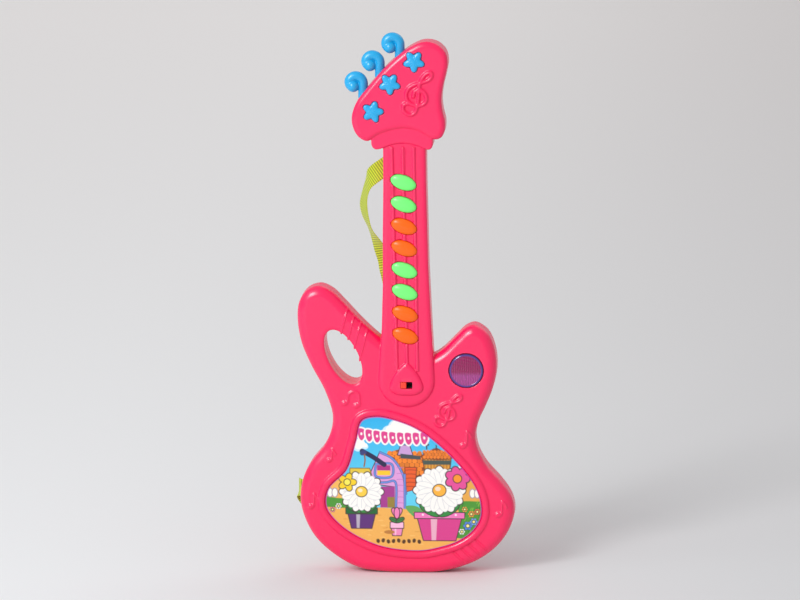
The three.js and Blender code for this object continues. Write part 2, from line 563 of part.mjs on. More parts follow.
for (let i = 0; i < CELL.count; i += 1) {
  const half = CELL.length / 2;
  const profile = [
    [0, -half], [CELL.radius - 0.6, -half], [CELL.radius, -half + 0.6], [CELL.radius, half - 0.6],
    [CELL.radius - 0.6, half], [CELL.nubRadius, half], [CELL.nubRadius, half + CELL.nub],
    [0, half + CELL.nub],
  ];
  const cell = add(`battery_cell_${i + 1}`, toGeometry(turned(profile, 14)), jacket, {
    x: facing(i) * CELL.shift,
    y: cellY,
    z: cellZ(i),
  });
  cell.rotation.z = (-facing(i) * Math.PI) / 2;
}

// A contact strip on one side wall of the bay that serves the listed cells.
function contact(name, side, cells) {
  const middle = (cellZ(cells[0]) + cellZ(cells.at(-1))) / 2;
  const wallX = side * (BAY.wide / 2 - 0.3);
  const strip = new THREE.BoxGeometry(0.5, 9, 10 + (cells.length - 1) * CELL.pitch);
  strip.translate(wallX - side * 0.25, cellY, middle);
  const studs = cells.map((i) => {
    const sprung = facing(i) !== side;
    const reach = sprung ? 4.8 : 1.5;
    const cone = new THREE.CylinderGeometry(2.2, sprung ? 4 : 2.6, reach + 0.2, 10);
    cone.rotateZ((side * Math.PI) / 2);
    cone.translate(wallX - side * (0.4 + reach / 2), cellY, cellZ(i));
    return toSolid(cone);
  });
  add(name, toGeometry(joined([toSolid(strip), ...studs])), steel);
}

contact('battery_contact_1', -1, [0]);
contact('battery_contact_2', -1, [1, 2]);
contact('battery_contact_3', 1, [0, 1]);
contact('battery_contact_4', 1, [2]);

const coverPlate = plate(coverLoop, BODY.back - COVER.thick, BODY.back - 0.1)
  .subtract(pin(0, COVER.screwZ, SCREW.shank + GAP, -REACH, REACH, 8));
add('battery_cover', toGeometry(coverPlate), pink);

// ---------------------------------------------------------------- screws

function screwGeometry(seat, tip) {
  const profile = [
    [0, tip], [SCREW.shank, tip + 1.6], [SCREW.shank, seat + 0.3], [SCREW.head, seat + 0.3],
    [SCREW.head, seat + 0.3 + SCREW.thick * 0.5], [SCREW.head * 0.6, seat + 0.3 + SCREW.thick],
    [0, seat + 0.3 + SCREW.thick],
  ];
  return toGeometry(turned(profile, 8));
}

CASE_SCREWS.forEach(({ x, z, shell }, i) => {
  add(`case_screw_${i + 1}`, screwGeometry(shell.back - SCREW.seat, SCREW.tip), steel, { x, z });
});
add('cover_screw', screwGeometry(BODY.back - 0.1, 8.5), steel, { z: COVER.screwZ });

// ---------------------------------------------------------------- strap

add('strap', strapGeometry(STRAP.width, STRAP.thick, STRAP.steps), webbing);

// The origin is the middle of the underside of everything, so the guitar stands on z = 0.
const bounds = new THREE.Box3().setFromObject(model);
const middle = bounds.getCenter(new THREE.Vector3());
model.position.set(-middle.x, -middle.y, -bounds.min.z);

const guitar = new THREE.Group();
guitar.add(model);

export default guitar;
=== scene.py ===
import math

import bpy
import numpy as np
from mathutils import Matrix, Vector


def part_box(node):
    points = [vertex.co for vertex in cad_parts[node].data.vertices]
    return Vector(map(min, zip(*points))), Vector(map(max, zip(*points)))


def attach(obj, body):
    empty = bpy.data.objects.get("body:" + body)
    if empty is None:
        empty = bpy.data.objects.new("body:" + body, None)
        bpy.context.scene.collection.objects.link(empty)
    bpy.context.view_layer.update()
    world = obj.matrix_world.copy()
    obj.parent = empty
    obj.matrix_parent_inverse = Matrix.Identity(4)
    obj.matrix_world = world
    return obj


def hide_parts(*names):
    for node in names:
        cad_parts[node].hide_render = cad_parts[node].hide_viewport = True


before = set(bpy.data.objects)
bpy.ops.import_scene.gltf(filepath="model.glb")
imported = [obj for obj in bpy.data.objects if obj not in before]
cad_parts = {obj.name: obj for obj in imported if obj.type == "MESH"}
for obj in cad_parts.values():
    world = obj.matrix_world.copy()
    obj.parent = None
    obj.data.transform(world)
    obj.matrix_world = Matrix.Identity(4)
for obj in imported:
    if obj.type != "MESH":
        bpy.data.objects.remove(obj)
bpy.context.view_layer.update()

import openvdb
from mathutils import Matrix, Vector

MM = 0.001
rng = np.random.default_rng(7)


def box_middle(node):
    low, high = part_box(node)
    return [(low[k] + high[k]) / 2 for k in range(3)]


# ------------------------------------------------------------------ shared sizes, millimetres
NOTE_TOP = 331.1
SEAM = 0.15
origin = np.array([
    box_middle("key_board")[0],
    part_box("front_shell")[1][1] + SEAM * MM,
    box_middle("note_button_1")[2] - NOTE_TOP * MM,
])


def to_frame(points):
    return np.asarray(points, float) * MM + origin


def node_spot(node):
    """The middle of a CAD node in case millimetres."""
    return (np.array(box_middle(node)) - origin) / MM


WALL = 2.2
GAP = 0.35
SNUG = 0.18                 # gap seen round the keys, stars and lens
BODY = dict(front=-15.0, back=19.0)
NECK = dict(front=-17.5, back=6.0)
COLLAR = dict(front=-19.0, back=7.5)
HEAD = dict(front=-21.0, back=8.0)
PAD_RISE = 2.3
NOTE_SIZE = (11.0, 6.15)
NOTE_TILT = math.radians(-19)
NOTE_PITCH = 18.4
HANDLE = dict(x=-51.3, z=183.2, long=25.0, short=12.4, tilt=math.radians(-63))
SWITCH_WINDOW = dict(x=1.6, z=160.6, wide=10.0, high=5.7)
LENS_RADIUS = 14.4
LENS_FLANGE = 15.9
STAR_MEAN, STAR_WAVE, STAR_KNOB, STAR_POINTS = 7.4, 1.65, -0.1, 5
STAR_TURNS = [math.radians(a) for a in (-90, -88, -69)]
BAY = dict(z=52.5, wide=59.4, high=46.0)
GRILLE = dict(pitch=5.4, slot=2.4, radius=19.0)
STRINGS = dict(low=172.0, high=361.0, low_x=2.2, high_x=-0.5, low_pitch=8.5, high_pitch=9.1)
PEG = dict(tube=4.1, curl=6.6, inner=3.0, ball=5.0, shank=12.0, sweep=236, depth=-6.0)
PEG_SPOTS = [(-9.8, 444.6), (-26.4, 429.6), (-40.4, 412.1)]
NECK_SLIT = dict(x=-17, y=2.2, z=341.4, high=20.6, deep=4)
SIDE_SLIT = dict(x=-86, y=8.6, z=67.5, high=16.4, deep=5)
COVER = dict(z=54.8, wide=66.0, high=57.0, thick=2.0, corner=4.0)
SCREW_HEAD = 2.6
SCREW_DEPTH = 3.4           # seat of a screw head below the skin
SCREW_POST = dict(front=2.2, back=3.1, bore=0.55)   # radii less 1, as the screws map counts from 1 mm
SPEAKER_RING = dict(radius=25.75, half_wall=0.9)

BODY_POINTS = [
    (5, 0), (28, 0.8), (49, 6), (66, 14.5), (79, 26), (87.5, 40), (90.8, 54), (88, 66),
    (79.2, 78.9), (67.8, 91.8), (61, 104), (58.5, 117), (61.5, 130), (67, 142), (73, 157),
    (76.3, 173), (75, 189), (70, 202), (64, 207.8), (57.5, 210.4), (50.4, 208), (43, 201),
    (30, 188.5), (20, 183.5), (0, 186), (-20, 198.5), (-37.2, 214.3), (-50.2, 228.3),
    (-60.3, 238.2), (-70.5, 242.6), (-81, 239.2), (-88, 229), (-89.6, 215), (-86.5, 195),
    (-78, 174.5), (-67.5, 154.5), (-61, 134), (-62, 121), (-68, 107), (-78.5, 94),
    (-86, 79), (-88.3, 62), (-85, 46.5), (-76, 29.5), (-60, 14.5), (-40, 3.6), (-18, 0.3),
]
COLLAR_POINTS = [
    (-23.4, 358.8), (-19, 359.1), (-10, 362.4), (0, 363.9), (10, 362.4), (17.6, 359.4), (21.8, 358.6),
    (24.2, 361.2), (24.6, 368), (23.6, 380), (0, 384), (-25.4, 380), (-26.4, 368), (-26, 361.4),
]
HEAD_POINTS = [
    (-29.6, 365.6), (-20, 371), (-8, 375), (2, 376), (12, 374), (20, 369.6), (25.5, 367.2),
    (31, 368.4), (34.2, 373.4), (34.9, 382), (32.9, 391), (32, 400), (33.2, 411), (35.9, 422.4),
    (37.3, 431.6), (35.2, 440.4), (27.6, 447.2), (17.2, 448.6), (6.4, 444.2), (-5.2, 435.6), (-17.2, 424.2),
    (-29.2, 410.2), (-39, 397), (-42.6, 384.5), (-40.6, 374.6), (-36.2, 368.4),
]
LABEL_POINTS = [
    (11.2, 19.4), (28.7, 22.4), (43.9, 27.7), (56.8, 37.2), (63.4, 50), (60.5, 70.4),
    (41.9, 96.5), (14.1, 120.7), (-5.7, 129.7), (-24.4, 133.2), (-36.1, 129.7), (-41.4, 111.9),
    (-49.2, 88.1), (-64.4, 71.5), (-66.2, 56.2), (-52.9, 39.5), (-22.7, 23.6),
]
PAD_POINTS = [
    (1.6, 152), (10.1, 152.8), (15.3, 157), (13.7, 165), (7.1, 175), (1.6, 179.2), (-3.9, 175),
    (-10.5, 165), (-12.1, 157), (-6.9, 152.8),
]

note_spots = [node_spot(f"note_button_{i}") for i in range(1, 9)]
star_spots = [(9.5, 432.6), (-10.6, 413.8), (-24.7, 390.5)]
lens_spot = node_spot("lamp_lens")
screw_spots = [node_spot(f"case_screw_{i}") for i in range(1, 10)]
cover_screw_spot = node_spot("cover_screw")
speaker_spot = node_spot("speaker_frame")

# ------------------------------------------------------------------ camera, light and floor
CAMERA_AZIMUTH = math.radians(4.0)
CAMERA_ELEVATION = math.radians(10.0)
CAMERA_DISTANCE = 6.0
PICTURE_WIDTH = 0.6656      # width of the view at the guitar, metres
CAMERA_ROLL = math.radians(-0.34)


def make_camera():
    camera = bpy.data.objects.new("camera", bpy.data.cameras.new("camera"))
    bpy.context.collection.objects.link(camera)
    back = Vector((
        math.sin(CAMERA_AZIMUTH) * math.cos(CAMERA_ELEVATION),
        -math.cos(CAMERA_AZIMUTH) * math.cos(CAMERA_ELEVATION),
        math.sin(CAMERA_ELEVATION),
    ))
    target = Vector(to_frame((-4.6, 0.0, 229.3)))
    camera.location = target + CAMERA_DISTANCE * back
    look = (-back).to_track_quat("-Z", "Y").to_matrix()
    camera.rotation_euler = (look @ Matrix.Rotation(CAMERA_ROLL, 3, "Z")).to_euler()
    camera.data.sensor_width = 36.0
    camera.data.lens = camera.data.sensor_width * CAMERA_DISTANCE / PICTURE_WIDTH
    camera.data.clip_end = 100
    bpy.context.scene.camera = camera


def area_light(name, place, aim, size, power):
    data = bpy.data.lights.new(name, "AREA")
    data.shape = "RECTANGLE"
    data.size, data.size_y = size
    data.energy = power
    light = bpy.data.objects.new(name, data)
    light.location = place
    light.rotation_euler = (Vector(aim) - Vector(place)).to_track_quat("-Z", "Y").to_euler()
    bpy.context.collection.objects.link(light)


def sun_light(name, source, power, spread):
    """A far, broad window of light seen from the guitar in the direction of source."""
    data = bpy.data.lights.new(name, "SUN")
    data.energy = power
    data.angle = math.radians(spread)
    light = bpy.data.objects.new(name, data)
    light.rotation_euler = Vector(source).to_track_quat("Z", "Y").to_euler()
    bpy.context.collection.objects.link(light)


def floor_paper():
    """Backdrop paper: painted light makes it paler far off, and painted shade makes it greyer towards the
    right.
    """
    paint = Paint("studio_floor_painted_light")
    place = paint.place()
    away = paint.add("SeparateXYZ", {"Vector": place}, "Y")
    across = paint.add("SeparateXYZ", {"Vector": place}, "X")
    # Painted light: the paper grows paler far off.
    painted_light_far = paint.ranged(away, {"From Min": -0.1, "From Max": 3.4})
    # Painted shade: the paper grows greyer towards the right.
    right = paint.ranged(across, {"From Min": -0.4, "From Max": 0.5}, "SMOOTHSTEP")
    depth = paint.mix(painted_light_far, (0.83, 0.85, 0.87, 1), (0.94, 0.925, 0.925, 1))
    paper = paint.mix(right, depth, (0.80, 0.79, 0.79, 1), "MULTIPLY")
    return paint.finished({"Base Color": paper, "Roughness": 0.75, "Specular IOR Level": 0.15})


def make_stage():
    world = bpy.data.worlds.new("studio")
    world.use_nodes = True
    background = world.node_tree.nodes["Background"]
    background.inputs["Color"].default_value = (1.0, 0.985, 0.985, 1)
    background.inputs["Strength"].default_value = 0.56
    bpy.context.scene.world = world
    sun_light("key_window", (-0.85, -0.62, 0.85), 0.35, 44)
    sun_light("rear_window", (0.7, 0.9, 1.0), 0.4, 50)
    area_light("strip_softbox", (-1.8, -2.65, 2.0), (0, 0, 0.22), (1.0, 1.3), 60)
    area_light("catch_softbox", (-1.15, -3.0, 1.4), (0, 0, 0.25), (0.55, 0.55), 11)

    mesh = bpy.data.meshes.new("floor")
    reach = 30.0
    corners = [(-reach, -reach, 0), (reach, -reach, 0), (reach, reach, 0), (-reach, reach, 0)]
    mesh.from_pydata(corners, [], [(0, 1, 2, 3)])
    floor = bpy.data.objects.new("floor", mesh)
    bpy.context.collection.objects.link(floor)
    mesh.materials.append(floor_paper())
    view = bpy.context.scene.view_settings
    view.view_transform = "Standard"
    view.look = "None"


# ------------------------------------------------------------------ material helpers
class Paint:
    """A new material, with short ways to add and join its nodes."""

    def __init__(self, name):
        self.material = bpy.data.materials.new(name)
        self.material.use_nodes = True
        self.tree = self.material.node_tree

    def feed(self, node, inputs):
        """Fills a node's inputs: a socket is linked, anything else is set as the value."""
        for key, value in inputs.items():
            if isinstance(value, bpy.types.NodeSocket):
                self.tree.links.new(value, node.inputs[key])
            else:
                node.inputs[key].default_value = value

    def add(self, kind, inputs, output, **settings):
        node = self.tree.nodes.new("ShaderNode" + kind)
        for key, value in settings.items():
            setattr(node, key, value)
        self.feed(node, inputs)
        return node.outputs[output]

    def place(self):
        return self.add("TexCoord", {}, "Object")

    def noise(self, place, scale, detail):
        return self.add("TexNoise", {"Vector": place, "Scale": scale, "Detail": detail}, "Fac")

    def ranged(self, value, limits, ease="LINEAR"):
        return self.add("MapRange", {"Value": value, **limits}, "Result", interpolation_type=ease)

    def mix(self, factor, a, b, blend="MIX"):
        inputs = {"Factor": factor, "A": a, "B": b}
        return self.add("Mix", inputs, "Result", data_type="RGBA", blend_type=blend)

    def bump(self, height, strength, distance):
        inputs = {"Height": height, "Strength": strength, "Distance": distance}
        return self.add("Bump", inputs, "Normal")

    def two_stops(self, value, *stops):
        node = self.tree.nodes.new("ShaderNodeValToRGB")
        for element, (position, color) in zip(node.color_ramp.elements, stops):
            element.position = position
            element.color = (*color, 1)
        self.feed(node, {"Fac": value})
        return node.outputs["Color"]

    def finished(self, inputs):
        self.feed(self.tree.nodes["Principled BSDF"], inputs)
        return self.material


def moulded_plastic(name, color, roughness, specular=0.7):
    """Injection-moulded plastic: soft flow variation, slightly worn edges and fine orange-peel bump."""
    paint = Paint(name)
    place = paint.place()
    dark = [c * 0.96 for c in color]
    light = [min(1.0, c * 1.04 + 0.004) for c in color]
    pale = [c + (1 - c) * 0.35 for c in color]
    tint = paint.mix(paint.noise(place, 14, 3), (*dark, 1), (*light, 1))
    sharpness = paint.add("NewGeometry", {}, "Pointiness")
    edge = paint.ranged(sharpness, {"From Min": 0.52, "From Max": 0.62, "To Max": 0.16})
    smudge = {"To Min": roughness * 0.85, "To Max": roughness * 1.2}
    return paint.finished({
        "Base Color": paint.mix(edge, tint, (*pale, 1)),
        "Roughness": paint.ranged(paint.noise(place, 45, 5), smudge),
        "Normal": paint.bump(paint.noise(place, 900, 2), 0.04, 0.0002),
        "IOR": 1.5,
        "Specular IOR Level": specular,
    })


# ------------------------------------------------------------------ flat outlines
def smooth_loop(points, per_span=12):
    """A closed centripetal Catmull-Rom curve through given points."""
    knots = np.asarray(points, float)
    curve = []
    count = len(knots)
    share = np.arange(per_span) / per_span
    for i in range(count):
        a, b, c, d = (knots[(i + k) % count] for k in (-1, 0, 1, 2))
        t0, t1 = 0.0, np.linalg.norm(b - a) ** 0.5
        t2 = t1 + np.linalg.norm(c - b) ** 0.5
        t3 = t2 + np.linalg.norm(d - c) ** 0.5
        t = (t1 + (t2 - t1) * share)[:, None]
        ab = (t1 - t) / (t1 - t0) * a + (t - t0) / (t1 - t0) * b
        bc = (t2 - t) / (t2 - t1) * b + (t - t1) / (t2 - t1) * c
        cd = (t3 - t) / (t3 - t2) * c + (t - t2) / (t3 - t2) * d
        abc = (t2 - t) / (t2 - t0) * ab + (t - t0) / (t2 - t0) * bc
        bcd = (t3 - t) / (t3 - t1) * bc + (t - t1) / (t3 - t1) * cd
        curve.append((t2 - t) / (t2 - t1) * abc + (t - t1) / (t2 - t1) * bcd)
    return np.vstack(curve)


def neck_outline():
    """The fingerboard: slightly tapered, with a rounded end on the body."""
    angle = np.linspace(math.pi, 2 * math.pi, 60)
    end = np.column_stack([1.5 + 23.3 * np.cos(angle), 164.2 + 22.4 * np.sin(angle)])
    up = np.arange(166, 372, 2.0)
    right = np.interp(up, (164.2, 205, 260, 330, 380), (24.8, 22.7, 20.2, 18.8, 18.5))
    left = np.interp(up, (164.2, 208, 245, 290, 330, 380), (-21.8, -18.9, -17.8, -17.6, -16.9, -16.8))
    return np.vstack([end, np.column_stack([right, up]), np.column_stack([left, up])[::-1]])


# ------------------------------------------------------------------ distance maps over x and z
MAP_STEP = 0.5
map_x = np.arange(-97.0, 97.01, MAP_STEP)
map_z = np.arange(-5.0, 457.01, MAP_STEP)
map_xz = np.stack(np.meshgrid(map_x, map_z, indexing="ij"), axis=-1)


def nearest_on_path(points, path, closed):
    """Distance from each point to a polyline, by its nearest corner and that corner's two edges."""
    best = np.full(len(points), 1e9)
    count = len(path)
    corner_size = (path ** 2).sum(1)
    for start in range(0, len(points), 20000):
        part = points[start:start + 20000]
        near = np.argmin(corner_size[None] - 2 * part @ path.T, axis=1)
        found = np.linalg.norm(part - path[near], axis=1)
        for step in (-1, 1):
            other = (near + step) % count if closed else np.clip(near + step, 0, count - 1)
            edge = path[other] - path[near]
            long = np.maximum((edge ** 2).sum(1), 1e-12)
            along = np.clip(((part - path[near]) * edge).sum(1) / long, 0, 1)
            away = np.linalg.norm(part - path[near] - along[:, None] * edge, axis=1)
            found = np.minimum(found, away)
        best[start:start + 20000] = found
    return best


def inside_loop(points_x, points_z, loop):
    """Even-odd test of a whole grid against a closed loop, row by row."""
    after = np.roll(loop, -1, axis=0)
    inside = np.zeros((len(points_x), len(points_z)), bool)
    for k, z in enumerate(points_z):
        crossing = (loop[:, 1] > z) != (after[:, 1] > z)
        a, b = loop[crossing], after[crossing]
        where = np.sort(a[:, 0] + (z - a[:, 1]) / (b[:, 1] - a[:, 1]) * (b[:, 0] - a[:, 0]))
        inside[:, k] = np.searchsorted(where, points_x) % 2 == 1
    return inside


def distance_map(path, reach=14.0, closed=True):
    """Distance to a path over the map, negative inside a closed one, held at reach beyond it."""
    low, high = path.min(0) - reach, path.max(0) + reach
    across = slice(*np.searchsorted(map_x, (low[0], high[0])))
    up = slice(*np.searchsorted(map_z, (low[1], high[1])))
    window = map_xz[across, up]
    near = nearest_on_path(window.reshape(-1, 2), path, closed).reshape(window.shape[:2])
    if closed:
        near = np.where(inside_loop(map_x[across], map_z[up], path), -near, near)
    full = np.full(map_xz.shape[:2], reach)
    full[across, up] = np.minimum(near, reach)
    return full


def softened(field, rounds=2):
    """A light blur that takes the facets off a distance map."""
    for _ in range(rounds):
        for axis in (0, 1):
            field = (np.roll(field, 1, axis) + 2 * field + np.roll(field, -1, axis)) / 4
    return field


def ellipse_map(x, z, long, short, tilt):
    """Roughly the signed distance to a tilted ellipse."""
    dx, dz = map_xz[..., 0] - x, map_xz[..., 1] - z
    u = (dx * math.cos(tilt) + dz * math.sin(tilt)) / long
    v = (-dx * math.sin(tilt) + dz * math.cos(tilt)) / short
    size = np.sqrt(u * u + v * v) + 1e-9
    slope = np.sqrt((u / long) ** 2 + (v / short) ** 2) / size + 1e-9
    return np.clip((size - 1) / slope, -14, 14)


def star_radius(angle):
    """A plump star with five blunt points."""
    return STAR_MEAN + STAR_WAVE * np.cos(STAR_POINTS * angle) + STAR_KNOB * np.cos(2 * STAR_POINTS * angle)


def star_map(spot, turn, grow=0.0):
    dx, dz = map_xz[..., 0] - spot[0], map_xz[..., 1] - spot[1]
    angle = np.arctan2(dz, dx)
    radius = star_radius(angle - turn) + grow
    return np.clip((np.hypot(dx, dz) - radius) * 0.85, -14, 14)


def box_away(x, z, wide, high, corner):
    """Signed distance to a rounded rectangle about the origin."""
    dx = np.abs(x) - wide / 2 + corner
    dz = np.abs(z) - high / 2 + corner
    return np.hypot(np.maximum(dx, 0), np.maximum(dz, 0)) + np.minimum(np.maximum(dx, dz), 0) - corner


def rect_map(x, z, wide, high, corner):
    return box_away(map_xz[..., 0] - x, map_xz[..., 1] - z, wide, high, corner)


# ------------------------------------------------------------------ raised and sunk relief
# One stroke from the inner end of the spiral to the ball of the lower hook, millimetres from its middle.
CLEF_POINTS = [
    (-3.7, -0.5), (-2.4, 3.6), (1.5, 5.3), (5.9, 2.0), (7.2, -3.2), (3.9, -7.4), (-2.0, -8.0),
    (-7.8, -4.9), (-9.7, 0.75), (-7.6, 6.0), (-3.0, 9.2), (2.4, 10.8), (8.0, 12.6), (11.5, 16.0),
    (10.9, 19.5), (6.9, 18.3), (3.1, 13.6), (1.4, 8.3), (1.0, 2.8), (0.4, -3.8), (-0.6, -9.4),
    (-2.2, -13.6), (-5.5, -15.8), (-9.6, -14.8), (-12.3, -11.2), (-11.6, -7.4), (-8.6, -6.4),
]


def open_curve(points, per_span=8):
    """A smooth open curve through given points."""
    knots = np.asarray(points, float)
    padded = np.vstack([2 * knots[0] - knots[1], knots, 2 * knots[-1] - knots[-2]])
    share = (np.arange(per_span) / per_span)[:, None]
    curve = []
    for a, b, c, d in zip(padded, padded[1:], padded[2:], padded[3:]):
        curve.append(0.5 * (2 * b + (c - a) * share + (2 * a - 5 * b + 4 * c - d) * share ** 2
                            + (3 * b - a - 3 * c + d) * share ** 3))
    return np.vstack([*curve, knots[-1:]])


def placed(points, x, z, size, lean):
    """Scales, leans clockwise and moves a small drawing."""
    points = np.asarray(points, float) * size
    c, s = math.cos(lean), math.sin(lean)
    return points @ np.array([(c, -s), (s, c)]) + (x, z)


def bead(path, radius, height):
    """A half-round raised line along an open path."""
    away = np.abs(distance_map(path, radius + 2, closed=False)) / radius
    return height * np.sqrt(np.clip(1 - away ** 2, 0, 1))


def dome(field, radius, height):
    """A rounded button of relief over the inside of a distance map."""
    return height * np.sqrt(np.clip(1 - (1 + np.clip(field, -radius, 0) / radius) ** 2, 0, 1))


def eighth_note(x, z, size):
    """A note head with its stem and flag."""
    head = dome(ellipse_map(x, z, 0.30 * size, 0.24 * size, 0.35), 0.22 * size, 1.2)
    foot = np.array((x + 0.26 * size, z + 0.05 * size))
    top = foot + (0.05 * size, 1.05 * size)
    stem = [foot, (foot + top) / 2, top]
    flag = [top, top + (0.22 * size, -0.22 * size), top + (0.36 * size, -0.5 * size)]
    lines = [bead(open_curve(path, 6), 0.9, 1.0) for path in (stem, flag)]
    return np.maximum.reduce([head, *lines])


def make_relief():
    """The raised marks, the sunk lines at the foot and the distance to the horn's grip lines."""
    clef = open_curve(CLEF_POINTS, 6)
    clefs = ((12.5, 404.0, 1.0, 0.0, 1.6, 1.7), (35.9, 137.3, 0.8, 0.14, 1.3, 1.3))
    raised = []
    for x, z, size, lean, width, high in clefs:
        stroke = placed(clef, x, z, size, lean)
        ball = stroke[-1]
        raised.append(bead(stroke, width, high))
        raised.append(dome(ellipse_map(ball[0], ball[1], 1.9 * size, 1.9 * size, 0), 1.9 * size, high))
    for x, z in ((-50.3, 144.4), (-40.4, 142.4)):
        raised.append(dome(ellipse_map(x, z, 3.0, 2.3, 0.3), 2.3, 1.1))
    arch = [(-47.9, 145), (-47.3, 151.0), (-43.3, 154.2), (-38.9, 152.2), (-37.9, 143)]
    raised.append(bead(open_curve(arch, 8), 1.1, 0.9))
    for x, z, size in ((48.2, 109.0, 11.0), (77.5, 50.5, 10.5), (-63.6, 96.0, 8.0), (-79.4, 56.5, 9.5)):
        raised.append(eighth_note(x, z, size))
    relief = np.maximum.reduce(raised)
    sunk = np.zeros_like(relief)
    grips = np.full_like(relief, 9.0)
    for i in range(4):
        x, z = -49.2 + 5.4 * i, 217.1 - 6.2 * i
        line = np.array([(x + 5.4, z + 20.0), (x, z), (x - 5.4, z - 20.0)])
        grips = np.minimum(grips, distance_map(line, 9.0, closed=False))
        x, z = 44.6 + 6.4 * i, 13.8 + 3.4 * i
        line = np.array([(x - 4.4, z + 4.4), (x, z), (x + 4.4, z - 4.4)])
        sunk = np.maximum(sunk, bead(open_curve(line, 4), 1.2, 1.0))
    return softened(relief, 1), softened(sunk, 1), grips


# ------------------------------------------------------------------ the case as one implicit solid
def slab(d, y, front, back, front_edge, back_edge):
    """A plate: d is the distance to its outline, edges are rounded over (inward, deep) sizes."""
    def corner(depth, size):
        u = np.maximum(1 + d / size[0], 0)
        v = np.maximum(1 + depth / size[1], 0)
        return (np.sqrt(u * u + v * v) - 1) * min(size)
    return np.maximum(corner(front - y, front_edge), corner(y - back, back_edge))


def blended(a, b, k):
    """The union of two solids with a fillet about k wide."""
    h = np.clip(0.5 + 0.5 * (b - a) / k, 0, 1)
    return b + (a - b) * h - k * h * (1 - h)


def cut(a, b, k=0.35):
    """Solid a less solid b, with the edge broken by about k."""
    return -blended(-a, b, k)


def string_ridges():
    """Three half-round ridges down the fingerboard that draw together towards the body."""
    rise = (map_xz[..., 1] - STRINGS["low"]) / (STRINGS["high"] - STRINGS["low"])
    middle = STRINGS["low_x"] + (STRINGS["high_x"] - STRINGS["low_x"]) * rise
    pitch = STRINGS["low_pitch"] + (STRINGS["high_pitch"] - STRINGS["low_pitch"]) * rise
    lines = np.minimum.reduce([np.abs(map_xz[..., 0] - middle - side * pitch) for side in (-1, 0, 1)])
    within = (rise > 0) & (rise < 1)
    return np.where(within, 1.3 * np.sqrt(np.clip(1 - (lines / 1.5) ** 2, 0, 1)), 0)


def make_maps():
    maps = dict(
        body=softened(distance_map(smooth_loop(BODY_POINTS))),
        neck=softened(distance_map(neck_outline())),
        collar=softened(distance_map(smooth_loop(COLLAR_POINTS))),
        head=softened(distance_map(smooth_loop(HEAD_POINTS))),
        label=softened(distance_map(smooth_loop(LABEL_POINTS))),
        pad=softened(distance_map(smooth_loop(PAD_POINTS))),
        handle=ellipse_map(**HANDLE),
    )
    maps["relief"], maps["sunk"], maps["grips"] = make_relief()
    keys = [ellipse_map(x, z, NOTE_SIZE[0] + SNUG, NOTE_SIZE[1] + SNUG, NOTE_TILT) for x, _, z in note_spots]
    stars = [star_map(spot, turn, SNUG) for spot, turn in zip(star_spots, STAR_TURNS)]
    lens = ellipse_map(lens_spot[0], lens_spot[2], LENS_RADIUS + SNUG, LENS_RADIUS + SNUG, 0)
    window = rect_map(*SWITCH_WINDOW.values(), 0.5)
    maps["holes"] = np.minimum.reduce([*keys, *stars, lens, window])
    maps["strings"] = string_ridges()
    maps["cover"] = rect_map(0, COVER["z"], COVER["wide"] + 2 * GAP, COVER["high"] + 2 * GAP, COVER["corner"])
    maps["bay"] = rect_map(0, BAY["z"], BAY["wide"], BAY["high"], 1.0)
    spots = [(x, z) for x, _, z in screw_spots]
    maps["screws"] = np.minimum.reduce([ellipse_map(x, z, 1, 1, 0) for x, z in spots])
    slots = []
    for i in range(-3, 4):
        offset = GRILLE["pitch"] * i
        long = 2 * math.sqrt(GRILLE["radius"] ** 2 - offset ** 2)
        slots.append(rect_map(speaker_spot[0] + offset, speaker_spot[2], GRILLE["slot"], long, 1.15))
    maps["grille"] = np.minimum.reduce(slots)
    maps["speaker"] = np.hypot(map_xz[..., 0] - speaker_spot[0], map_xz[..., 1] - speaker_spot[2])
    case = np.maximum(maps["body"], -maps["handle"])
    maps["outline"] = np.minimum.reduce([case, maps["neck"], maps["collar"], maps["head"]])
    return {name: field.astype(np.float32) for name, field in maps.items()}


maps = {}                   # filled by make_maps() when the build starts


def sampled(x, z):
    """Every map read at the given places, between its grid points."""
    x, z = np.broadcast_arrays(x, z)
    u = np.clip((x - map_x[0]) / MAP_STEP, 0, len(map_x) - 1.001).astype(np.float32)
    v = np.clip((z - map_z[0]) / MAP_STEP, 0, len(map_z) - 1.001).astype(np.float32)
    i, j = u.astype(int), v.astype(int)
    fu, fv = u - i, v - j
    read = {}
    for name, field in maps.items():
        read[name] = ((field[i, j] * (1 - fu) + field[i + 1, j] * fu) * (1 - fv)
                      + (field[i, j + 1] * (1 - fu) + field[i + 1, j + 1] * fu) * fv)
    return read


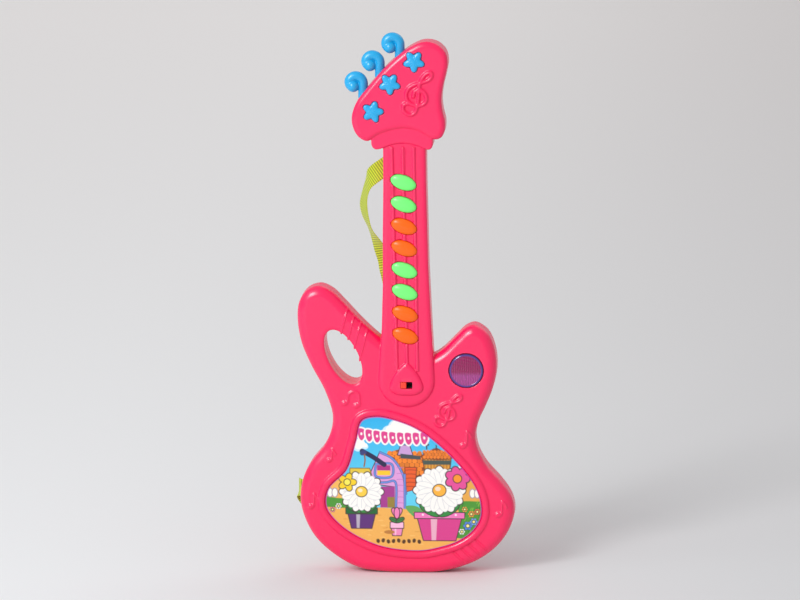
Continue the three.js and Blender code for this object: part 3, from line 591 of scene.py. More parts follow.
def outer_case(m, y):
    """The whole case with both halves together, solid all through."""
    front = y + np.where(y < 0, m["relief"] - m["sunk"], 0)
    body = slab(m["body"], front, BODY["front"], BODY["back"], (8.5, 7.5), (8.0, 13.0))
    rim = slab(-m["handle"], front, BODY["front"], BODY["back"], (3.4, 1.2), (3.2, 1.2))
    body = np.maximum(body, rim)
    near_front = np.clip((BODY["front"] + 5 - y) / 2.5, 0, 1)
    body = body - 0.5 * near_front * np.clip(1 - (m["grips"] / 0.9) ** 2, 0, 1)
    away = np.abs(m["label"] - 3.5) / 2.9
    ridge = (np.sqrt(away ** 2 + ((y - BODY["front"]) / 1.95) ** 2) - 1) * 1.95
    recess = np.maximum(m["label"] - 0.5, y - BODY["front"] - 0.6)
    body = cut(blended(body, ridge, 0.8), recess)
    neck_front = y + np.where(y < 0, m["strings"], 0)
    neck = slab(m["neck"], neck_front, NECK["front"], NECK["back"], (4.2, 2.4), (3.0, 4.0))
    case = blended(body, neck, 0.9)
    pad = slab(m["pad"], y, NECK["front"] - PAD_RISE, 0, (3.4, 2.0), (1.0, 1.0))
    case = blended(case, pad, 0.7)
    collar = slab(m["collar"], y, COLLAR["front"], COLLAR["back"], (1.8, 1.6), (2.0, 2.0))
    case = blended(case, collar, 0.5)
    head = slab(m["head"], front, HEAD["front"], HEAD["back"], (4.6, 3.8), (5.0, 9.0))
    return blended(case, head, 0.5)


def hollow_case(m, y):
    """The room inside the walls of body, neck and head."""
    edge = (1.5, 1.5)
    body = slab(m["body"] + WALL, y, BODY["front"] + WALL, BODY["back"] - WALL, (7.0, 6.5), (7.0, 11.0))
    body = np.maximum(body, WALL - m["handle"])
    neck = slab(m["neck"] + WALL, y, NECK["front"] + WALL, NECK["back"] - WALL, edge, edge)
    head = slab(m["head"] + WALL, y, HEAD["front"] + WALL, HEAD["back"] - WALL, (3.5, 3.0), (4.0, 7.0))
    return np.minimum(np.minimum(body, neck), head)


def seam_groove(m, y):
    """A fine step all round where the two halves meet."""
    return np.maximum(np.abs(y) - 0.4, -(m["outline"] + 0.35))


def front_half(x, y, z):
    """The front shell, with its screw posts and the holes for keys, stars, lens and switch."""
    m = sampled(x, z)
    shell = np.maximum(outer_case(m, y), -hollow_case(m, y))
    boss_end = np.minimum(1 - m["outline"], 0) + HEAD["front"] + 3 - y
    boss = np.maximum(m["screws"] - SCREW_POST["front"], boss_end)
    under_skin = np.where(m["head"] < 0, HEAD["front"], BODY["front"]) + 1 - y
    shell = np.minimum(shell, np.maximum(boss, under_skin))
    shell = np.maximum(shell, -np.maximum(m["screws"] - SCREW_POST["bore"], -9 - y))
    shell = cut(shell, np.maximum(m["holes"], y + 9), 0.3)
    shell = np.maximum(shell, -seam_groove(m, y))
    return np.maximum(shell, y + SEAM)


def slit(x, y, z, spot):
    """An upright slot through a side wall for the strap."""
    upright = np.maximum(np.abs(y - spot["y"]) - 1.3, np.abs(z - spot["z"]) - spot["high"] / 2)
    return np.maximum(upright, np.abs(x - spot["x"]) - spot["deep"])


def back_half(x, y, z):
    """The rear shell, with posts, battery tray, speaker ring, grille and the two strap slits."""
    m = sampled(x, z)
    shell = np.maximum(outer_case(m, y), -hollow_case(m, y))
    skin = np.select([m["body"] < 0, m["head"] < -3, m["collar"] < 0],
                     [BODY["back"], HEAD["back"], COLLAR["back"]], NECK["back"])
    post = np.maximum(m["screws"] - SCREW_POST["back"], y - skin + 0.5)
    tray = np.maximum(m["cover"] - 1.35, np.maximum(0.3 - y, y - BODY["back"] + 1))
    ring = np.abs(m["speaker"] - SPEAKER_RING["radius"]) - SPEAKER_RING["half_wall"]
    ring = np.maximum(ring, np.maximum(9 - y, y - BODY["back"] + 1))
    shell = np.minimum(np.minimum(shell, post), np.minimum(tray, ring))
    shell = np.maximum(shell, -np.maximum(m["bay"], 2 - y))
    seat = BODY["back"] - COVER["thick"] - 0.4
    shell = cut(shell, np.maximum(m["cover"], seat - y), 0.3)
    shell = np.maximum(shell, -(m["screws"] - SCREW_POST["bore"]))
    shell = cut(shell, np.maximum(m["screws"] - SCREW_HEAD - GAP + 1, skin - SCREW_DEPTH - y), 0.3)
    shell = cut(shell, np.maximum(m["grille"], 12 - y), 0.5)
    shell = cut(shell, slit(x, y, z, NECK_SLIT), 0.4)
    shell = cut(shell, slit(x, y, z, SIDE_SLIT), 0.4)
    shell = np.maximum(shell, -seam_groove(m, y))
    return np.maximum(shell, SEAM - y)


# ------------------------------------------------------------------ fields to meshes
def settle(field, points, rounds=3):
    """Moves points onto the zero surface of a field; gives them and the outward directions there."""
    h = 0.3
    steps = np.eye(3) * h
    for turn in range(rounds + 1):
        rises = [(field(*(points + step).T) - field(*(points - step).T)) / (2 * h) for step in steps]
        slope = np.stack(rises, axis=-1)
        size = np.maximum((slope ** 2).sum(1), 0.05)
        if turn == rounds:
            break
        move = -field(*points.T) / size
        points = points + np.clip(move, -0.4, 0.4)[:, None] * slope
    return points, slope / np.maximum(np.linalg.norm(slope, axis=1), 1e-9)[:, None]


def surface(field, low, high, step, adapt, rounds):
    """The zero surface of a field inside a box: settled points, faces and directions."""
    axes = [np.arange(low[k], high[k] + step, step, dtype=np.float32) for k in range(3)]
    values = field(axes[0][:, None, None], axes[1][None, :, None], axes[2][None, None, :])
    values = np.clip(values, -3 * step, 3 * step).astype(np.float32)
    grid = openvdb.FloatGrid(3 * step)
    grid.copyFromArray(np.ascontiguousarray(values))
    points, triangles, quads = grid.convertToPolygons(isovalue=0.0, adaptivity=adapt)
    points = np.asarray(points, float) * step + np.array(low)
    points, slope = settle(field, points, rounds)
    return points, np.asarray(triangles), np.asarray(quads), slope


def add_object(name, points, faces, body):
    """A mesh object from case millimetres. faces is a list of index arrays, one per corner count."""
    mesh = bpy.data.meshes.new(name)
    points = to_frame(points)
    faces = [np.asarray(part, int) for part in faces if len(part)]
    corners = np.concatenate([part.ravel() for part in faces])
    counts = np.concatenate([np.full(len(part), part.shape[1]) for part in faces])
    mesh.vertices.add(len(points))
    mesh.vertices.foreach_set("co", points.ravel())
    mesh.loops.add(len(corners))
    mesh.loops.foreach_set("vertex_index", corners)
    mesh.polygons.add(len(counts))
    mesh.polygons.foreach_set("loop_start", np.concatenate([[0], np.cumsum(counts)[:-1]]))
    mesh.polygons.foreach_set("loop_total", counts)
    mesh.polygons.foreach_set("use_smooth", np.ones(len(counts), bool))
    mesh.update(calc_edges=True)
    mesh.validate()
    made = bpy.data.objects.new(name, mesh)
    bpy.context.collection.objects.link(made)
    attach(made, body)
    return made


def add_solid(name, field, low, high, step, body, adapt=0.0):
    """Meshes a field, turned outward, with its own directions as shading normals."""
    points, triangles, quads, slope = surface(field, low, high, step, adapt, 3)
    faces = [triangles, quads]
    whole = next(part for part in (quads, triangles) if len(part))
    a, b, c = (points[whole[:, k]] for k in range(3))
    out = (np.cross(b - a, c - a) * slope[whole[:, 0]]).sum()
    if out < 0:
        faces = [part[:, ::-1] if len(part) else part for part in faces]
    made = add_object(name, points, faces, body)
    made.data.normals_split_custom_set_from_vertices(slope.tolist())
    return made


def ring_quads(sides, rings, start=0):
    """Quads between neighbouring closed rings of points, counted from the point at start."""
    around = np.arange(sides)
    after = (around + 1) % sides
    bands = []
    for base in start + sides * np.arange(rings - 1):
        beyond = base + sides
        bands.append(np.column_stack([base + around, base + after, beyond + after, beyond + around]))
    return np.vstack(bands)


def dress(piece, material, node):
    """Gives a piece its material and hides the CAD node that it stands in for."""
    piece.data.materials.append(material)
    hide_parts(node)


# ------------------------------------------------------------------ case pieces
QUALITY = 0.72


def make_case(pink):
    low, high = (-96, -24, -3), (96, SEAM + 1.4, 454)
    front = add_solid("case_front", front_half, low, high, QUALITY, "case", 0.02)
    dress(front, pink, "front_shell")
    back = add_solid("case_back", back_half, (-96, -SEAM - 1.4, -3), (96, 22, 454), QUALITY, "case", 0.02)
    dress(back, pink, "back_shell")


def cover_field(x, y, z):
    """The battery cover: a plate with five finger ribs and a screw hole."""
    outline = box_away(x, z - COVER["z"], COVER["wide"], COVER["high"], COVER["corner"])
    ribs = 0.0
    for i in range(5):
        line = np.hypot(z - 34 - 2.6 * i, np.maximum(np.abs(x) - 9, 0))
        ribs = ribs + 0.7 * np.sqrt(np.clip(1 - (line / 0.9) ** 2, 0, 1))
    plate = slab(outline, y - ribs, BODY["back"] - COVER["thick"], BODY["back"] - 0.1, (0.3, 0.3), (0.6, 0.6))
    hole = np.hypot(x - cover_screw_spot[0], z - cover_screw_spot[2]) - 1.6
    return np.maximum(plate, -hole)


def make_cover(pink):
    low, high = (-35, 15, 24.5), (35, 21.5, 85.5)
    cover = add_solid("bay_cover", cover_field, low, high, 0.6, "battery_cover")
    dress(cover, pink, "battery_cover")


# ------------------------------------------------------------------ keys, stars, pegs
def lathe(profile, sides, stretch):
    """Points and faces of a shape turned about y from (radius, y) pairs, closed at both ends."""
    angle = 2 * math.pi * np.arange(sides) / sides
    across, up = stretch[0] * np.cos(angle), stretch[1] * np.sin(angle)
    rings = [np.column_stack([r * across, np.full(sides, y), r * up]) for r, y in profile]
    points = np.vstack([*rings, [(0, profile[0][1], 0), (0, profile[-1][1], 0)]])
    last = (len(profile) - 1) * sides
    around = np.arange(sides)
    after = (around + 1) % sides
    first_fan = np.column_stack([after, around, np.full(sides, len(points) - 2)])
    last_fan = np.column_stack([last + around, last + after, np.full(sides, len(points) - 1)])
    return points, [ring_quads(sides, len(profile)), np.vstack([first_fan, last_fan])]


def turned_about_y(points, tilt):
    c, s = math.cos(tilt), math.sin(tilt)
    x, y, z = np.asarray(points).T
    return np.column_stack([c * x - s * z, y, s * x + c * z])


def make_keys(green, orange):
    """Eight oval domes, turned in one profile that runs from the crown to the flange behind the skin."""
    profile = [(0.02, -3.4)]
    for step in range(1, 19):
        angle = math.radians(step * 5)
        profile.append((math.sin(angle) ** 0.95, -3.4 * math.cos(angle) ** 0.78))
    profile += [(1.0, 0.6), (1.0, 1.6), (1.0, 2.5), (1.06, 2.5), (1.13, 2.5), (1.13, 3.1), (1.13, 3.7)]
    profile += [(0.6, 3.7), (0.02, 3.7)]
    points, faces = lathe(profile, 72, NOTE_SIZE)
    points = turned_about_y(points, NOTE_TILT)
    for i in range(8):
        spot = (note_spots[i][0], NECK["front"], NOTE_TOP - NOTE_PITCH * i)
        key = add_object(f"note_key_{i + 1}", points + spot, faces, f"note_button_{i + 1}")
        material, slot_name = (green, "key_green") if i % 4 < 2 else (orange, "key_orange")
        dress(key, material, f"note_button_{i + 1}")


def star_field(spot, turn):
    """A star key with a swollen face and a thin flange behind the skin."""
    def outline(x, z, grow=0.0):
        dx, dz = x - spot[0], z - spot[1]
        angle = np.arctan2(dz, dx)
        radius = star_radius(angle - turn) + grow
        turning = STAR_WAVE * STAR_POINTS * np.sin(STAR_POINTS * (angle - turn))
        slope = turning / np.maximum(np.hypot(dx, dz), 2)
        return (np.hypot(dx, dz) - radius) / np.sqrt(1 + slope ** 2)

    def field(x, y, z):
        d = outline(x, z)
        swell = 0.5 * np.exp(-((x - spot[0]) ** 2 + (z - spot[1]) ** 2) / 20.0)
        face = slab(d, y + swell, HEAD["front"] - 2.0, -17.9, (2.2, 1.5), (0.2, 0.2))
        flange = slab(outline(x, z, 1.3), y, -18.4, -17.2, (0.2, 0.2), (0.2, 0.2))
        return np.minimum(face, flange)
    return field


def make_stars(blue):
    for i, (spot, turn) in enumerate(zip(star_spots, STAR_TURNS)):
        low = (spot[0] - 12, -25, spot[1] - 12)
        high = (spot[0] + 12, -16, spot[1] + 12)
        star = add_solid(f"star_key_{i + 1}", star_field(spot, turn), low, high, 0.4, f"star_button_{i + 1}")
        dress(star, blue, f"star_button_{i + 1}")


def peg_path():
    points = [(PEG["curl"], 0, z) for z in np.linspace(-PEG["shank"], -1, 8)]
    for share in np.linspace(0, 1, 28):
        radius = PEG["curl"] + (PEG["inner"] - PEG["curl"]) * share ** 2
        angle = math.radians(PEG["sweep"]) * share
        points.append((radius * math.cos(angle), -0.6 * share, radius * math.sin(angle)))
    return np.array(points)


def peg_field(x, y, z):
    """A shank that rises into a curl, with a ball at its inner end."""
    path = peg_path()
    x, y, z = np.broadcast_arrays(x, y, z)
    tube = np.full(x.shape, 9.0)
    for a, b in zip(path[:-1], path[1:]):
        edge = b - a
        along = (x - a[0]) * edge[0] + (y - a[1]) * edge[1] + (z - a[2]) * edge[2]
        t = np.clip(along / (edge @ edge), 0, 1)
        dx, dy, dz = x - a[0] - t * edge[0], y - a[1] - t * edge[1], z - a[2] - t * edge[2]
        tube = np.minimum(tube, np.sqrt(dx * dx + dy * dy + dz * dz))
    tip = path[-1]
    dx, dy, dz = x - 0.85 * tip[0], y - tip[1] + 0.8, z - 0.85 * tip[2]
    ball = np.sqrt(dx ** 2 + dy ** 2 + dz ** 2) - PEG["ball"]
    foot = np.maximum(tube - PEG["tube"], -PEG["shank"] - z)
    return blended(foot, ball, 0.7)


def make_pegs(blue):
    low, high = (-11.5, -6, -13), (11.5, 5, 11.5)
    points, triangles, quads, slope = surface(peg_field, low, high, 0.55, 0.0, 2)
    for i, (x, z) in enumerate(PEG_SPOTS):
        peg = add_object(f"peg_{i + 1}", points + (x, PEG["depth"], z), [triangles, quads], "case")
        a, b, c = (points[quads[:, k]] for k in range(3))
        if (slope[quads[:, 0]] * np.cross(b - a, c - a)).sum() < 0:
            peg.data.flip_normals()
        peg.data.normals_split_custom_set_from_vertices(slope.tolist())
        dress(peg, blue, f"tuning_peg_{i + 1}")


# ------------------------------------------------------------------ lens, switch, screws
def make_lens(purple):
    """A clear tinted cap: a smooth rolled rim round a field of fine moulded prisms."""
    rings, sides = 110, 300
    radius = LENS_RADIUS * np.linspace(0.004, 1, rings)
    angle = 2 * math.pi * np.arange(sides) / sides
    r, a = np.meshgrid(radius, angle, indexing="ij")
    x, z = r * np.cos(a), r * np.sin(a)
    rim = np.clip((r - LENS_RADIUS + 2.0) / 2.0, 0, 1)
    rise = 1.1 + 0.5 * (1 - (r / LENS_RADIUS) ** 2)
    prism = 0.16 * np.abs((x / 0.9) % 2 - 1) + 0.07 * np.abs(((z + 0.2 * x) / 1.3) % 2 - 1) - 0.1
    step = 0.25 * np.clip((LENS_RADIUS - 1.6 - r) / 0.3, 0, 1)
    flat = np.clip((LENS_RADIUS - 1.9 - r) / 0.3, 0, 1)
    y = -(rise + prism * flat - step) + 1.5 * (1 - np.sqrt(np.clip(1 - rim ** 2, 0, 1)))
    front = np.column_stack([x.ravel(), y.ravel(), z.ravel()])
    back = [(LENS_RADIUS, 1.2), (LENS_RADIUS, 2.5), (LENS_FLANGE, 2.5), (LENS_FLANGE, 3.7)]
    back += [(8, 3.7), (0.05, 3.7)]
    tail = [np.column_stack([r * np.cos(angle), np.full(sides, y), r * np.sin(angle)]) for r, y in back]
    points = np.vstack([front, *tail])
    quads = ring_quads(sides, rings + len(tail))
    spot = (lens_spot[0], BODY["front"], lens_spot[2])
    lens = add_object("lens_cap", points + spot, [quads], "case")
    dress(lens, purple, "lamp_lens")


def tinted_lens(middle):
    """Translucent purple plastic: a dark turned rim and magenta above; the paler violet pool below is a
    painted reflection.
    """
    paint = Paint("lens_purple")
    offset = paint.add("VectorMath", {0: paint.place(), 1: middle}, "Vector", operation="SUBTRACT")
    height = paint.add("SeparateXYZ", {"Vector": offset}, "Z")
    # Painted reflection: the lower part of the lens is painted a paler violet.
    painted_reflection_share = paint.ranged(height, {"From Min": -0.8 * MM, "From Max": -4.2 * MM})
    magenta_with_painted_reflection = paint.mix(painted_reflection_share, (*srgb(152, 8, 90), 1), (*srgb(172, 62, 142), 1))
    wave = {"Vector": offset, "Scale": 175, "Distortion": 9.0, "Detail": 2}
    flecked = paint.mix(0.32, magenta_with_painted_reflection, paint.add("TexWave", wave, "Color"), "MULTIPLY")
    reach = paint.add("VectorMath", {0: offset}, "Value", operation="LENGTH")
    share = paint.add("Math", {0: reach, 1: LENS_RADIUS * MM}, "Value", operation="DIVIDE")
    edge = paint.two_stops(share, (0.84, (0, 0, 0)), (0.90, (1, 1, 1)))
    rim = paint.two_stops(share, (0.92, srgb(84, 52, 144)), (0.99, srgb(48, 16, 62)))
    whole = paint.mix(edge, flecked, rim)
    return paint.finished({"Base Color": whole, "Roughness": 0.12, "Coat Weight": 0.4})


def knob_field(x, y, z):
    """The ribbed switch knob at the left end of its window, on a stem."""
    wide, high = 4.7, SWITCH_WINDOW["high"] - 0.6
    left = SWITCH_WINDOW["x"] - SWITCH_WINDOW["wide"] / 2 + 0.2
    middle = left + wide / 2
    outline = box_away(x - middle, z - SWITCH_WINDOW["z"], wide, high, 0.4)
    ribs = 0.28 * np.sqrt(np.clip(1 - (((x - middle) / 0.62 + 1) % 2 - 1) ** 2, 0, 1))
    head = slab(outline, y + ribs, -19.7, -12.0, (0.5, 0.5), (0.2, 0.2))
    dx, dz = np.abs(x - middle) - wide / 2 + 0.3, np.abs(z - SWITCH_WINDOW["z"]) - 1.3
    stem = np.maximum(np.maximum(dx, dz), np.maximum(-12.6 - y, y + 9.0))
    return np.minimum(head, stem)


def make_switch(red):
    low, high = (-4.7, -21.0, 156.5), (3.1, -8, 164.8)
    knob = add_solid("slide_knob", knob_field, low, high, 0.22, "switch_knob")
    dress(knob, red, "switch_knob")


def screw_field(spot, seat, tip):
    """A domed cross-head screw with a plain shank."""
    def field(x, y, z):
        r = np.hypot(x - spot[0], z - spot[1])
        head = np.maximum(r - SCREW_HEAD, seat + 0.3 - y)
        dome_top = np.sqrt(r ** 2 + (y - seat + 2.5) ** 2) - 4.4
        dx, dz = np.abs(x - spot[0]), np.abs(z - spot[1])
        cross = np.minimum(np.maximum(dx - 0.42, dz - 1.7), np.maximum(dz - 0.42, dx - 1.7))
        head = np.maximum(head, dome_top)
        head = np.maximum(head, -np.maximum(cross, seat + 0.9 - y))
        shank = np.maximum(r - 1.15, np.maximum(tip - y, y - seat - 0.6))
        return np.minimum(head, shank)
    return field


def make_screws(steel):
    backs = [BODY["back"]] * 7 + [COLLAR["back"], HEAD["back"]]
    screws = [(spot, back - SCREW_DEPTH, -8.0, -8.3, back - SCREW_DEPTH + 2.6, "case")
              for spot, back in zip(screw_spots, backs)]
    screws.append((cover_screw_spot, 18.9, 8.5, 8, 21.6, "battery_cover"))
    for i, ((x, _, z), seat, tip, low_y, high_y, body) in enumerate(screws):
        low, high = (x - 3.2, low_y, z - 3.2), (x + 3.2, high_y, z + 3.2)
        screw = add_solid(f"pan_screw_{i + 1}", screw_field((x, z), seat, tip), low, high, 0.24, body)
        dress(screw, steel, f"case_screw_{i + 1}" if body == "case" else "cover_screw")


# ------------------------------------------------------------------ picture label
def srgb(r, g, b):
    """A screen colour, 0 to 255, as linear light."""
    return np.array([c / 12.92 if c <= 0.04045 else ((c + 0.055) / 1.055) ** 2.4
                     for c in (r / 255, g / 255, b / 255)])


def ellipse_away(p, x, z, a, b, tilt=0.0):
    dx, dz = p[:, 0] - x, p[:, 1] - z
    u = (dx * math.cos(tilt) + dz * math.sin(tilt)) / a
    v = (-dx * math.sin(tilt) + dz * math.cos(tilt)) / b
    size = np.hypot(u, v) + 1e-9
    return (size - 1) * size / np.maximum(np.hypot(u / a, v / b), 1e-9)


def edge_away(p, a, b):
    """Squared distance from each point to the edge from a to b."""
    edge = b - a
    t = np.clip(((p - a) @ edge) / max(edge @ edge, 1e-9), 0, 1)
    return ((p - a - t[:, None] * edge) ** 2).sum(1)


def shape_away(p, points, smooth=True):
    """Signed distance to a closed shape through a few points."""
    loop = smooth_loop(points, 8) if smooth else np.asarray(points, float)
    after = np.roll(loop, -1, axis=0)
    inside = np.zeros(len(p), bool)
    away = np.full(len(p), 1e9)
    for a, b in zip(loop, after):
        away = np.minimum(away, edge_away(p, a, b))
        if a[1] != b[1]:
            crossing = (a[1] > p[:, 1]) != (b[1] > p[:, 1])
            inside ^= crossing & (p[:, 0] < a[0] + (p[:, 1] - a[1]) / (b[1] - a[1]) * (b - a)[0])
    away = np.sqrt(away)
    return np.where(inside, -away, away)


def stroke_away(p, points, radius):
    line = open_curve(points, 8)
    away = np.full(len(p), 1e9)
    for a, b in zip(line[:-1], line[1:]):
        away = np.minimum(away, edge_away(p, a, b))
    return np.sqrt(away) - radius


class Print:
    """Flat inks laid one over the other on a set of points."""

    def __init__(self, points, paper):
        self.points = points
        self.ink = np.tile(paper, (len(points), 1))

    def lay(self, away, color, soft=0.5):
        share = np.clip(0.5 - away / soft, 0, 1)[:, None]
        self.ink = self.ink * (1 - share) + share * color

    def lined(self, away, color, line, border=0.75):
        if line is not None:
            self.lay(away - border, line)
        self.lay(away, color)

    def disc(self, x, z, a, b, color, tilt=0.0, line=None):
        self.lined(ellipse_away(self.points, x, z, a, b, tilt), color, line)

    def shape(self, points, color, smooth=True, line=None):
        self.lined(shape_away(self.points, points, smooth), color, line)

    def stroke(self, points, radius, color):
        self.lay(stroke_away(self.points, points, radius), color)


def daisy(ink, x, z, size, petals, petal, middle, line):
    """A round flower: petals about a button."""
    rim = min(0.95, 0.1 * size)
    for pass_line in (True, False):
        for i in range(petals):
            angle = 2 * math.pi * i / petals
            px, pz = x + 0.62 * size * math.cos(angle), z + 0.62 * size * math.sin(angle)
            away = ellipse_away(ink.points, px, pz, 0.44 * size, 0.34 * size, angle)
            ink.lay(away - rim if pass_line else away, line if pass_line else petal)
    ink.disc(x, z, 0.34 * size, 0.34 * size, middle, line=line)


def bloom(ink, x, z, size, petals, petal, shade, middle, line):
    """A large daisy: two rows of separate overlapping petals about a domed button."""
    for reach, turn in ((0.66, 0.0), (0.56, 0.5)):
        for i in range(petals):
            angle = 2 * math.pi * (i + turn) / petals
            px, pz = x + reach * size * math.cos(angle), z + reach * size * math.sin(angle) * 0.9
            away = ellipse_away(ink.points, px, pz, 0.38 * size, 0.2 * size, angle)
            border, edge = (0.8, line) if turn == 0 else (0.35, shade)
            ink.lined(away, petal, edge, border)
            root = (x + 0.4 * size * math.cos(angle), z + 0.36 * size * math.sin(angle))
            tip = (x + 0.84 * size * math.cos(angle), z + 0.76 * size * math.sin(angle))
            ink.stroke([root, (px, pz), tip], 0.2, shade)
    ink.disc(x, z, 0.25 * size, 0.23 * size, middle, line=line)
    ink.disc(x - 0.06 * size, z + 0.06 * size, 0.11 * size, 0.09 * size, middle * 0.5 + 0.5)


def flower_pot(ink, x, foot, wide, high, body, rim, line):
    """A tapered pot with a rolled rim and a pale stripe, seen from the front."""
    top = foot + high

    def panel(left, right, low_left, low_right, upper, lower, color, line=None):
        corners = [(left, upper), (right, upper), (low_right, lower), (low_left, lower)]
        ink.shape([(x + share * wide, z) for share, z in corners], color, False, line)

    panel(-0.5, 0.5, -0.36, 0.36, top, foot, body, line)
    panel(-0.2, -0.05, -0.18, -0.08, top, foot, body * 0.6 + 0.4)
    panel(-0.56, 0.56, -0.56, 0.56, top + 3.4, top - 1.2, rim, line)


def leaves(ink, x, z, size, green, line):
    for side in (-1, 1):
        ink.disc(x + side * 0.8 * size, z, size, 0.42 * size, green, side * 0.5, line=line)
        vein = [(x + side * 0.1 * size, z - 0.3 * size), (x + side * 1.5 * size, z + 0.35 * size)]
        ink.stroke(vein, 0.25, line)


def cloud(ink, x, z, size, color):
    puffs = ((-0.9, 0, 0.55), (-0.3, 0.35, 0.7), (0.45, 0.25, 0.6), (1.0, -0.05, 0.42), (0.1, -0.2, 0.6))
    for dx, dz, r in puffs:
        ink.disc(x + dx * size, z + dz * size, r * size, r * size * 0.8, color)


def tiles(ink, left, right, low, high, rows, color, line):
    """Scalloped roof tiles in staggered rows over a rectangle of the sheet."""
    step = (high - low) / rows
    for row in range(rows):
        z = high - step * (row + 0.5)
        start = left + (row % 2) * step * 0.6
        for x in np.arange(start, right, step * 1.25):
            ink.disc(x, z - 0.3 * step, step * 0.66, step * 0.62, line)
            ink.disc(x, z, step * 0.6, step * 0.6, color * rng.uniform(0.8, 1.1))


def bunting(ink, color, line):
    """A row of little flags that sags in the middle, white-edged."""
    wide, high = 2.7, 5.0
    for i in range(9):
        share = i / 8
        x, z = -36.5 + 52.5 * share, 118.0 - 3.2 * share - 6.0 * share * (1 - share)
        flag = [(x - wide, z + high), (x + wide, z + high * 0.8), (x + wide * 0.8, z - high * 0.6)]
        flag += [(x, z - high), (x - wide * 0.8, z - high * 0.5)]
        ink.lined(shape_away(ink.points, flag), color, line, 1.3)
        ink.disc(x, z + 0.6, 0.9, 1.2, line)


def cottage(ink, line):
    """A lilac gabled house with blue beams, a hoist arm, and orange tiled roofs behind."""
    orange, brick, blue = srgb(240, 132, 36), srgb(232, 92, 34), srgb(104, 140, 218)
    back_roof = [(-14, 103), (-4, 106), (8, 101), (16, 96), (16, 74), (0, 72), (-8, 84)]
    ink.shape(back_roof, srgb(146, 72, 26), False)
    tiles(ink, -13, 16, 84, 104, 6, orange, srgb(130, 58, 26))
    ink.shape([(0, 90), (9, 90), (8, 72), (1, 70)], brick, False, line=srgb(140, 52, 24))
    for z in (74, 77.5, 81, 84.5, 88):
        ink.stroke([(0.6, z), (4.5, z + 0.3), (8.6, z)], 0.3, srgb(160, 60, 28))
    ink.shape([(-6, 101), (-3.5, 109), (3.5, 109), (6, 101)], srgb(200, 158, 214), False, line=line)
    ink.shape([(-4, 102), (13, 100), (13, 97), (-4, 98)], srgb(66, 76, 84), False)
    ink.shape([(-29, 85), (-21, 103), (-10, 98), (-1, 84), (-1, 54), (-9, 54), (-9, 74), (-24, 76)],
              srgb(222, 158, 218), False, line=line)
    ink.shape([(-21, 74), (-9, 74), (-9, 56), (-21, 56)], srgb(166, 56, 142), False)
    ink.shape([(-15, 65), (-9, 65), (-9, 56), (-15, 56)], srgb(150, 128, 56), False)
    beams = (
        [(-21, 103), (-10, 97), (-2, 84), (0.5, 68)], [(-24, 77), (-16, 77.5), (-8, 77), (-8, 54)],
        [(-24.5, 93), (-24.5, 82.5), (-11.5, 82.5), (-11.5, 93), (-24.5, 93)], [(-0.5, 84), (-0.5, 54)],
    )
    for path in beams:
        ink.stroke(path, 1.0, line)
        ink.stroke(path, 0.75, blue)
    for z in (60, 65, 70, 75, 80, 85, 90):
        ink.stroke([(-7, z), (-4.5, z + 0.2), (-1.8, z)], 0.25, srgb(186, 116, 190))
    ink.shape([(-23.5, 92), (-12.5, 92), (-12.5, 87.5), (-23.5, 87.5)], srgb(176, 44, 130), False)
    ink.shape([(-23.5, 87.5), (-12.5, 87.5), (-12.5, 83.5), (-23.5, 83.5)], srgb(246, 200, 40), False)
    ink.stroke([(-36, 104), (-27, 99), (-17.5, 92.5)], 2.0, srgb(34, 32, 74))
    ink.disc(-35, 102.5, 3.0, 2.2, srgb(52, 60, 120), 0.4)
    ink.stroke([(-34, 101), (-33.6, 96), (-34.4, 91)], 0.6, srgb(150, 92, 36))
    ink.shape([(-46, 89), (-30, 89), (-28, 82), (-46, 82)], srgb(226, 196, 66), False, line=srgb(120, 96, 40))


def round_tower(ink):
    """A squat round tower of straw and brick under a tiled cone."""
    brown, line = srgb(196, 130, 44), srgb(96, 56, 26)
    ink.shape([(15, 98), (38, 98), (36.5, 84), (17, 84)], brown, False, line=line)
    for x in np.arange(17.5, 37, 2.6):
        ink.stroke([(x, 97), (x + 0.2, 91), (x, 85)], 0.35, srgb(232, 170, 60))
    ink.shape([(14.5, 96.5), (38.6, 96.5), (38.2, 92.8), (15, 92.8)], srgb(70, 84, 78), False)
    cone = [(12.6, 99.5), (20, 104.5), (26, 107), (32, 104), (39.5, 98.5), (26, 96.8)]
    ink.shape(cone, srgb(130, 60, 26))
    tiles(ink, 16, 38, 98, 105, 3, srgb(238, 128, 36), srgb(120, 54, 24))
    ink.stroke([(18, 106), (18, 110.5)], 0.5, srgb(60, 50, 56))
    ink.stroke([(26, 106), (26, 109)], 0.5, srgb(60, 50, 56))
    ink.disc(18.6, 109.4, 1.6, 0.8, srgb(60, 50, 56), 0.5)


